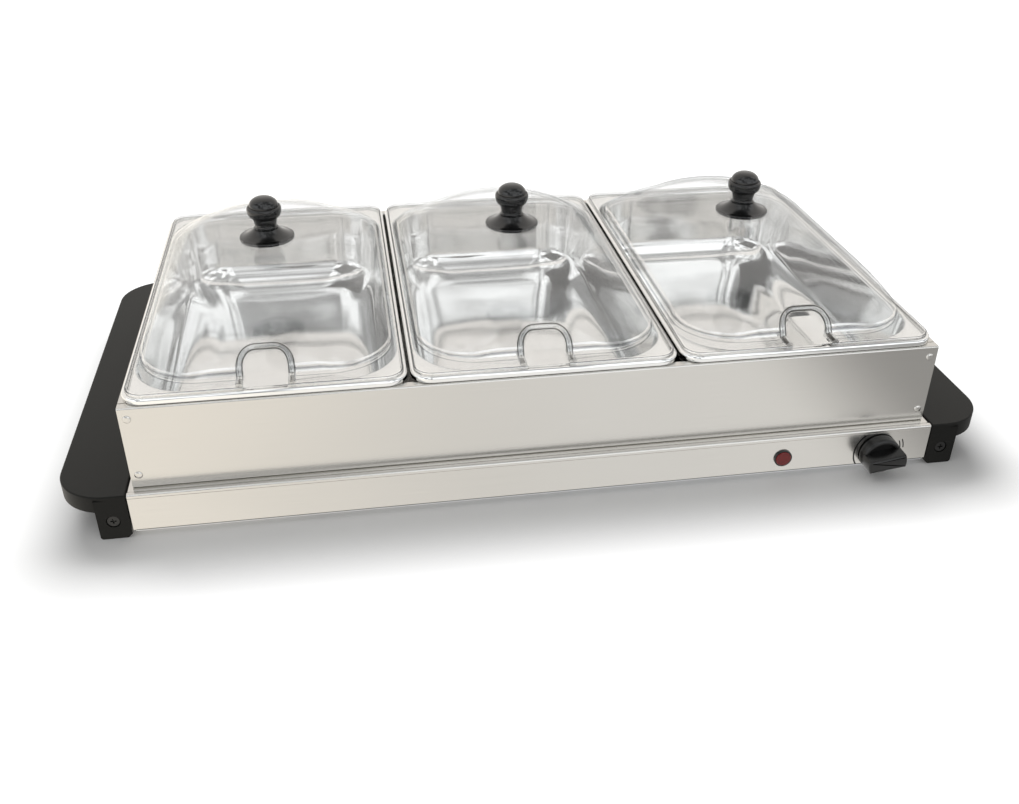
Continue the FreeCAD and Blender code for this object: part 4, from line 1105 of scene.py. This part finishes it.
def studio_floor():
    finish = Finish("studio_table", roughness=0.7, specular_ior_level=0.0)
    names = ["Is Camera Ray", "Is Glossy Ray", "Is Transmission Ray"]
    camera_ray, glossy_ray, clear_ray = finish.outputs("ShaderNodeLightPath", names)
    x, y, height = finish.along()
    over_x = (abs(x) - tray_half[0]).at_least(0.0)
    over_y = (abs(y) - tray_half[1]).at_least(0.0)
    far = ((over_x * over_x + over_y * over_y) ** 0.5).between(*belt)
    seen = (camera_ray + clear_ray).at_most(1.0) * (beside_share + far * (1 - beside_share))
    # Painted light: the glow that mirrors see is painted strong at the left and weaker towards the right.
    mirrored = painted_glow_left - x.between(middle_from, middle_to) * middle_loss
    mirrored = mirrored - x.between(right_from, right_to) * right_loss
    # Painted warm light, seen only in reflections, warmest at the left.
    painted_warm_glow = finish.mix(opaque(1, 0.95, 0.87), opaque(1, 0.99, 0.97), x.between(-0.35, 0.1))
    tint_with_painted_light = finish.mix(opaque(1, 1, 1), painted_warm_glow, glossy_ray)
    strength = glossy_ray * mirrored + (1 - glossy_ray) * white_glow
    glow = finish.node("ShaderNodeEmission", None, {"Color": tint_with_painted_light, "Strength": strength})
    grain = finish.noise(4.0, 2.0)
    finish.set(base_color=finish.mix(opaque(0.84, 0.84, 0.83), opaque(0.86, 0.86, 0.85), grain))
    blend = finish.node("ShaderNodeMixShader", None, {0: seen + glossy_ray * mirrored_share})
    tree = finish.tree
    tree.links.new(finish.shader.outputs[0], blend.socket.node.inputs[1])
    tree.links.new(glow.socket, blend.socket.node.inputs[2])
    tree.links.new(blend.socket, tree.nodes["Material Output"].inputs["Surface"])
    return finish.material


mesh = bmesh.new()
bmesh.ops.create_grid(mesh, x_segments=1, y_segments=1, size=4.0)
data = bpy.data.meshes.new("studio_table")
mesh.to_mesh(data)
mesh.free()
data.materials.append(studio_floor())
table = bpy.data.objects.new("studio_table", data)
bpy.context.scene.collection.objects.link(table)

# %% [markdown]
# ## The room and its lights
#
# The lamps light the object but stay out of its mirrors, where their hard edges would
# show. Polished steel looks into the room instead: a bright backdrop behind the object,
# and soft panels and gaps between them above and in front. A slow noise pattern over
# the directions gives those panels, and the curved pans draw them out into streaks.
# What isn't mirrored gets an even, weak fill from the same world.

# %% The room
panel_gap = 0.3
panel_glow = 1.3
fill_light = 0.3


def studio_room(world):
    room = Patterns(world.node_tree)
    background = world.node_tree.nodes["Background"]
    names = ["Is Camera Ray", "Is Glossy Ray", "Is Transmission Ray"]
    camera_ray, glossy_ray, clear_ray = room.outputs("ShaderNodeLightPath", names)
    way = room.node("ShaderNodeTexCoord", output="Generated")
    x, y, z = room.outputs("ShaderNodeSeparateXYZ", "XYZ", {"Vector": way})
    stretched = room.node("ShaderNodeMapping", None, {"Vector": way, "Scale": (6.0, 2.6, 1.6)})
    panels = room.node("ShaderNodeTexNoise", None, {"Vector": stretched, "Scale": 1.0, "Detail": 1.5})
    panels = panels.between(0.36, 0.6)
    backdrop = y.between(-0.1, 0.4)
    mirrored = backdrop + (1 - backdrop) * (panel_gap + panels * panel_glow)
    seen = (camera_ray + clear_ray).at_most(1.0)
    level = seen + (1 - seen) * (glossy_ray * mirrored + (1 - glossy_ray) * fill_light)
    room.feed(background.inputs["Strength"], level)
    warm = room.mix(opaque(0.96, 0.98, 1.0), opaque(1, 0.965, 0.925), backdrop)
    room.feed(background.inputs["Color"], room.mix(opaque(1, 1, 1), warm, glossy_ray))


world = bpy.data.worlds.new("studio")
world.use_nodes = True
studio_room(world)
bpy.context.scene.world = world
bpy.context.scene.view_settings.view_transform = "Standard"

# %% Lights
def soft_light(name, place, aim, size, power):
    data = bpy.data.lights.new(name, "AREA")
    data.shape = "RECTANGLE"
    data.size = size[0]
    data.size_y = size[1]
    data.energy = power
    lamp = bpy.data.objects.new(name, data)
    way = Vector(aim) - Vector(place)
    lamp.matrix_world = Matrix.Translation(place) @ way.to_track_quat("-Z", "Y").to_matrix().to_4x4()
    lamp.visible_glossy = False
    bpy.context.scene.collection.objects.link(lamp)
    return lamp


middle_of_tray = (0, 0, 0.05)
soft_light("key_softbox", (-0.9, -0.3, 1.5), middle_of_tray, (1.2, 1.0), 4)
soft_light("back_softbox", (-0.1, 1.1, 1.2), middle_of_tray, (1.8, 0.6), 25)
print("lights: 2")

# %% [markdown]
# ## The end
#
# The dressed model has to stay inside the drawing's box.

# %% Finish
import json
